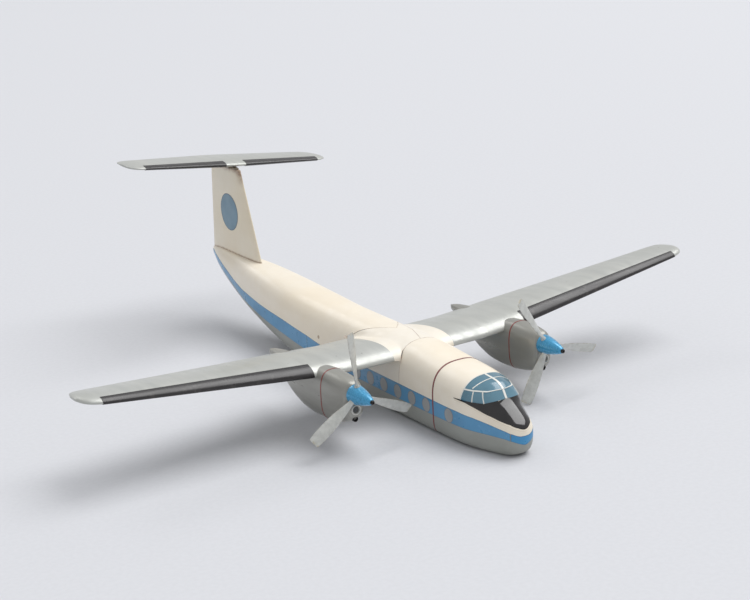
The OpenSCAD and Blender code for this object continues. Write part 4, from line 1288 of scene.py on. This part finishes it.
def propeller(side_name, side):
    body = side_name + "_propeller"
    hub = np.array([side * ENGINE_X, float(station_y(PROP_STATION)), AXIS_Z])
    length = SPINNER_BASE - SPINNER_TIP
    shape = [[spinner_radius(u), length * (1 - u)] for u in np.linspace(1, 0, 28)]
    outline = rounded([[0.86, length - 0.02], [0.86, 0.5], [1.05, 0.05]], 0.1) + shape[1:] + [
        [SPINNER_R - 0.25, length], [0.86, length - 0.02]]
    at = (hub[0], float(station_y(SPINNER_TIP)), hub[2])
    lathe(side_name + "_spinner", outline, at, turns=72, body=body, slot="spinner",
          material=SPINNER_BLUE)
    rings, around = blade_rings()
    edge = np.broadcast_to(np.abs(np.cos(around)) ** 12, rings.shape[:2])
    paint = blade_paint(side_name, side)
    for i, angle in enumerate(BLADE_ANGLES[side], 1):
        turn = np.array(Matrix.Rotation(math.radians(angle), 3, "Y"))
        name = f"{side_name}_blade_{i}"
        closed_loft(name, rings @ turn.T + hub, body=body, slot="blade", material=paint,
                    fields={"edge": edge.ravel()})
    tip = (hub[0], float(station_y(SPINNER_TIP)) - 1.35, hub[2])
    head = rounded([[0, 0.55], [0.45, 0.55], [0.5, 0.1], [0.8, 0], [1.15, 0.35], [1.25, 1.2], [0.8, 1.22],
                    [0.8, 3.4]], 0.12)
    lathe(side_name + "_prop_pin", head, tip, turns=48, slot="prop_pin", material=PIN_STEEL)


# ---- tail ----

# Leading edge, trailing edge and half thickness of the fin: at its foot, and their change to the top
FIN_FOOT_Z = 45
FIN_LEAD = (270.4, 20)
FIN_TRAIL = (333.6, -4.6)
FIN_THINNING = -0.6


def fin_values(z):
    """Leading edge, trailing edge and half thickness of the fin at a height."""
    t = (z - FIN_FOOT_Z) / (FIN_TOP_Z - FIN_FOOT_Z)
    return FIN_LEAD[0] + FIN_LEAD[1] * t, FIN_TRAIL[0] + FIN_TRAIL[1] * t, FIN_HALF + FIN_THINNING * t


def fin_ring(z, shares, faces_up):
    lead, trail, half = fin_values(z)
    thick = (half * foil(shares) + EDGE_HALF * shares) * faces_up
    return np.stack([thick, station_y(lead + (trail - lead) * shares), np.full_like(shares, z)], -1)


def fin():
    shares, faces_up = foil_loop(40)
    heights = np.concatenate([np.linspace(FIN_BASE_Z, 50, 24), np.linspace(51, FIN_TOP_Z, 44)])
    rings = np.array([fin_ring(z, shares, faces_up) for z in heights])
    base = rings[..., 2] - crown_z(rings[..., 1] + SOCKET_STATION, 0)
    dirt = np.exp(-(np.maximum(base, 0) / 0.8) ** 2) + 0.8 * np.exp(-((FIN_TOP_Z - rings[..., 2]) / 1.6) ** 2)
    lead = rings[..., 1] - rings[:, len(shares) // 2, 1][:, None]
    rust = np.exp(-(lead / 4) ** 2) * np.clip((rings[..., 2] - 91) / 8, 0, 1)
    closed_loft("fin", rings, slot="fin", material=FIN_CREAM,
                fields={"dirt": np.clip(dirt + rust, 0, 1).ravel()})


def roundels():
    grids = []
    s0, z0, radius = EMBLEM
    for side in (-1, 1):
        grid = []
        for t in range(65):
            a = 2 * math.pi * t / 64
            r = radius * np.concatenate([np.linspace(0.01, 0.95, 10), [0.97, 1]])
            z = z0 + r * math.sin(a)
            s = s0 + r * math.cos(a)
            lead, trail, half = fin_values(z)
            u = (s - lead) / (trail - lead)
            grid.append(np.stack([side * (half * foil(u) + EDGE_HALF * u), station_y(s), z], -1))
        grids.append(np.array(grid))
    edges = [np.concatenate([np.zeros((65, 10)), np.ones((65, 2))], 1) for _ in grids]
    film("fin_roundels", grids, 0.08, inside=lambda g: g * [0, 1, 1], fields={"edge": edges},
         slot="fin_roundels", material=ROUNDEL_BLUE)


TAIL_CURVES = [Smooth(TAIL[2:], c) for c in range(1, 4)]


def tail_values(x):
    x = abs(x)
    if x > 61:
        return [float(c(x)) for c in TAIL_CURVES]
    return [float(np.interp(x, [r[0] for r in TAIL], [r[c] for r in TAIL])) for c in range(1, 4)]


def tilted(points):
    turn = np.array(Matrix.Rotation(math.radians(TAIL_TILT), 3, "Y"))
    return np.asarray(points) @ turn.T + [0, 0, TAIL_Z]


def tail_ring(x, shares, faces_up):
    lead, trail, half = tail_values(x)
    return tilted(section_points(x, 1, lead, trail, half, half, 0, shares, faces_up))


def tailplane():
    shares, faces_up = foil_loop(48)
    tip = 61 + 8.5 * np.sin(np.linspace(0.06, math.pi / 2, 14))
    half = np.concatenate([np.linspace(2, 61, 30), tip])
    stations = np.concatenate([-half[::-1], [0], half])
    rings = np.array([tail_ring(x, shares, faces_up) for x in stations])
    near = np.abs(rings[..., 0])
    dirt = np.exp(-(near / 3.2) ** 2) * np.clip(1.2 - np.abs(rings[..., 1] - station_y(306)) / 14, 0, 1)
    below = (faces_up < 0)[None, :]
    closed_loft("tailplane", rings, slot="tailplane", material=TAIL_SILVER,
                fields={"dirt": (dirt * below * 0.9).ravel()})
    for side_name, side in SIDES.items():
        boot(side_name + "_tail_boot", lambda x, u, f, k=side: tail_ring(k * x, u, f),
             np.linspace(*TAIL_BOOT, 40), "tail_boot")


def joint_glue():
    """Lumpy bead squeezed out along the joint of fin and tailplane."""
    random = np.random.default_rng(7)
    bumps = random.uniform(0, 2 * math.pi, (6, 3))
    rings = []
    for v in spread(-1, 1, 40, 1.0):
        size = math.sqrt(max(0.0, 1 - v**2)) ** 0.8 + 0.02
        a = 2 * math.pi * np.arange(36) / 36
        lump = sum(0.06 * np.sin((i + 2) * a + b[0]) * math.sin((i + 3) * v * 2 + b[1])
                   for i, b in enumerate(bumps))
        r = size * (1 + lump)
        rings.append(np.stack([2.3 * r * np.cos(a), np.full(36, station_y(304.5) + 11 * v),
                               101.9 + 1.25 * r * np.sin(a)], -1))
    closed_loft("tail_joint_glue", rings, slot="tail_joint_glue", material=GLUE)


# ---- stage, light and camera ----

def stage_and_light():
    scene = bpy.context.scene
    floor_mesh = bpy.data.meshes.new("floor")
    corners = [(-FLOOR_HALF, -FLOOR_HALF, 0), (FLOOR_HALF, -FLOOR_HALF, 0),
               (FLOOR_HALF, FLOOR_HALF, 0), (-FLOOR_HALF, FLOOR_HALF, 0)]
    floor_mesh.from_pydata(corners, [], [(0, 1, 2, 3)])
    floor = bpy.data.objects.new("floor", floor_mesh)
    scene.collection.objects.link(floor)
    paper = Shader("floor_paper", roughness=0.75)
    grain = paper.noise(0.4, 3)
    paper.colour(paper.mix(paper.between(grain, 0.3, 0.7), linear(208, 209, 213), linear(205, 206, 210)))
    floor_mesh.materials.append(paper.material)
    world = bpy.data.worlds.new("studio")
    scene.world = world
    world.use_nodes = True
    world.node_tree.nodes["Background"].inputs[0].default_value = (0.97, 0.98, 1.0, 1)
    world.node_tree.nodes["Background"].inputs[1].default_value = WORLD_STRENGTH
    for name, place, size, power in LIGHTS:
        lamp = bpy.data.lights.new(name, "AREA")
        lamp.shape = "RECTANGLE"
        lamp.size, lamp.size_y = size
        lamp.energy = power
        holder = bpy.data.objects.new(name, lamp)
        scene.collection.objects.link(holder)
        holder.location = place
        holder.rotation_euler = (Vector((0, 0.02, 0.03)) - Vector(place)).to_track_quat("-Z", "Y").to_euler()
    scene.view_settings.view_transform = "Standard"


# Half the floor's side, in metres
FLOOR_HALF = 12
WORLD_STRENGTH = 0.56
# Name, place and size in metres, power in watts
LIGHTS = [
    ("key_softbox", (4.0, -0.6, 7.6), (8.5, 6.5), 640),
    ("back_softbox", (-0.5, 6.5, 5.0), (3.0, 2.0), 40),
]

CAMERA_TARGET = Vector((0, 0.0162, 0.0522))
CAMERA_AZIMUTH = -31.8
CAMERA_ELEVATION = 17.1
CAMERA_ROLL = -2.95
CAMERA_DISTANCE = 1.0
CAMERA_LENS = 85


def camera():
    a, e = math.radians(CAMERA_AZIMUTH), math.radians(CAMERA_ELEVATION)
    back = Vector((math.sin(a) * math.cos(e), -math.cos(a) * math.cos(e), math.sin(e)))
    data = bpy.data.cameras.new("camera")
    data.lens = CAMERA_LENS
    holder = bpy.data.objects.new("camera", data)
    bpy.context.scene.collection.objects.link(holder)
    right = Vector((math.cos(a), math.sin(a), 0))
    up = back.cross(right)
    turn = Matrix((right, up, back)).transposed().to_4x4()
    holder.matrix_world = (Matrix.Translation(CAMERA_TARGET + back * CAMERA_DISTANCE) @ turn
                           @ Matrix.Rotation(math.radians(CAMERA_ROLL), 4, "Z"))
    bpy.context.scene.camera = holder


def dress(node, material):
    """Gives a CAD node that stays as it is its material."""
    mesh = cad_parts[node].data
    mesh.materials.clear()
    mesh.materials.append(material)


camera()
stage_and_light()
fuselage()
for side_name, side in SIDES.items():
    wing_root(side_name, side)
    wing(side_name, side)
    stripes(side_name, side)
    windows(side_name, side)
    nacelle(side_name, side)
    chin_intake(side_name, side)
    propeller(side_name, side)
nose_chevron()
body_band()
antiglare_panel()
glazing()
windscreen_frame()
fin()
roundels()
tailplane()
joint_glue()
dress("wing_spar", WOOD)
dress("fin_dowel", WOOD)
dress("tail_pin", PIN_STEEL)
dress("stand_socket", BRASS)
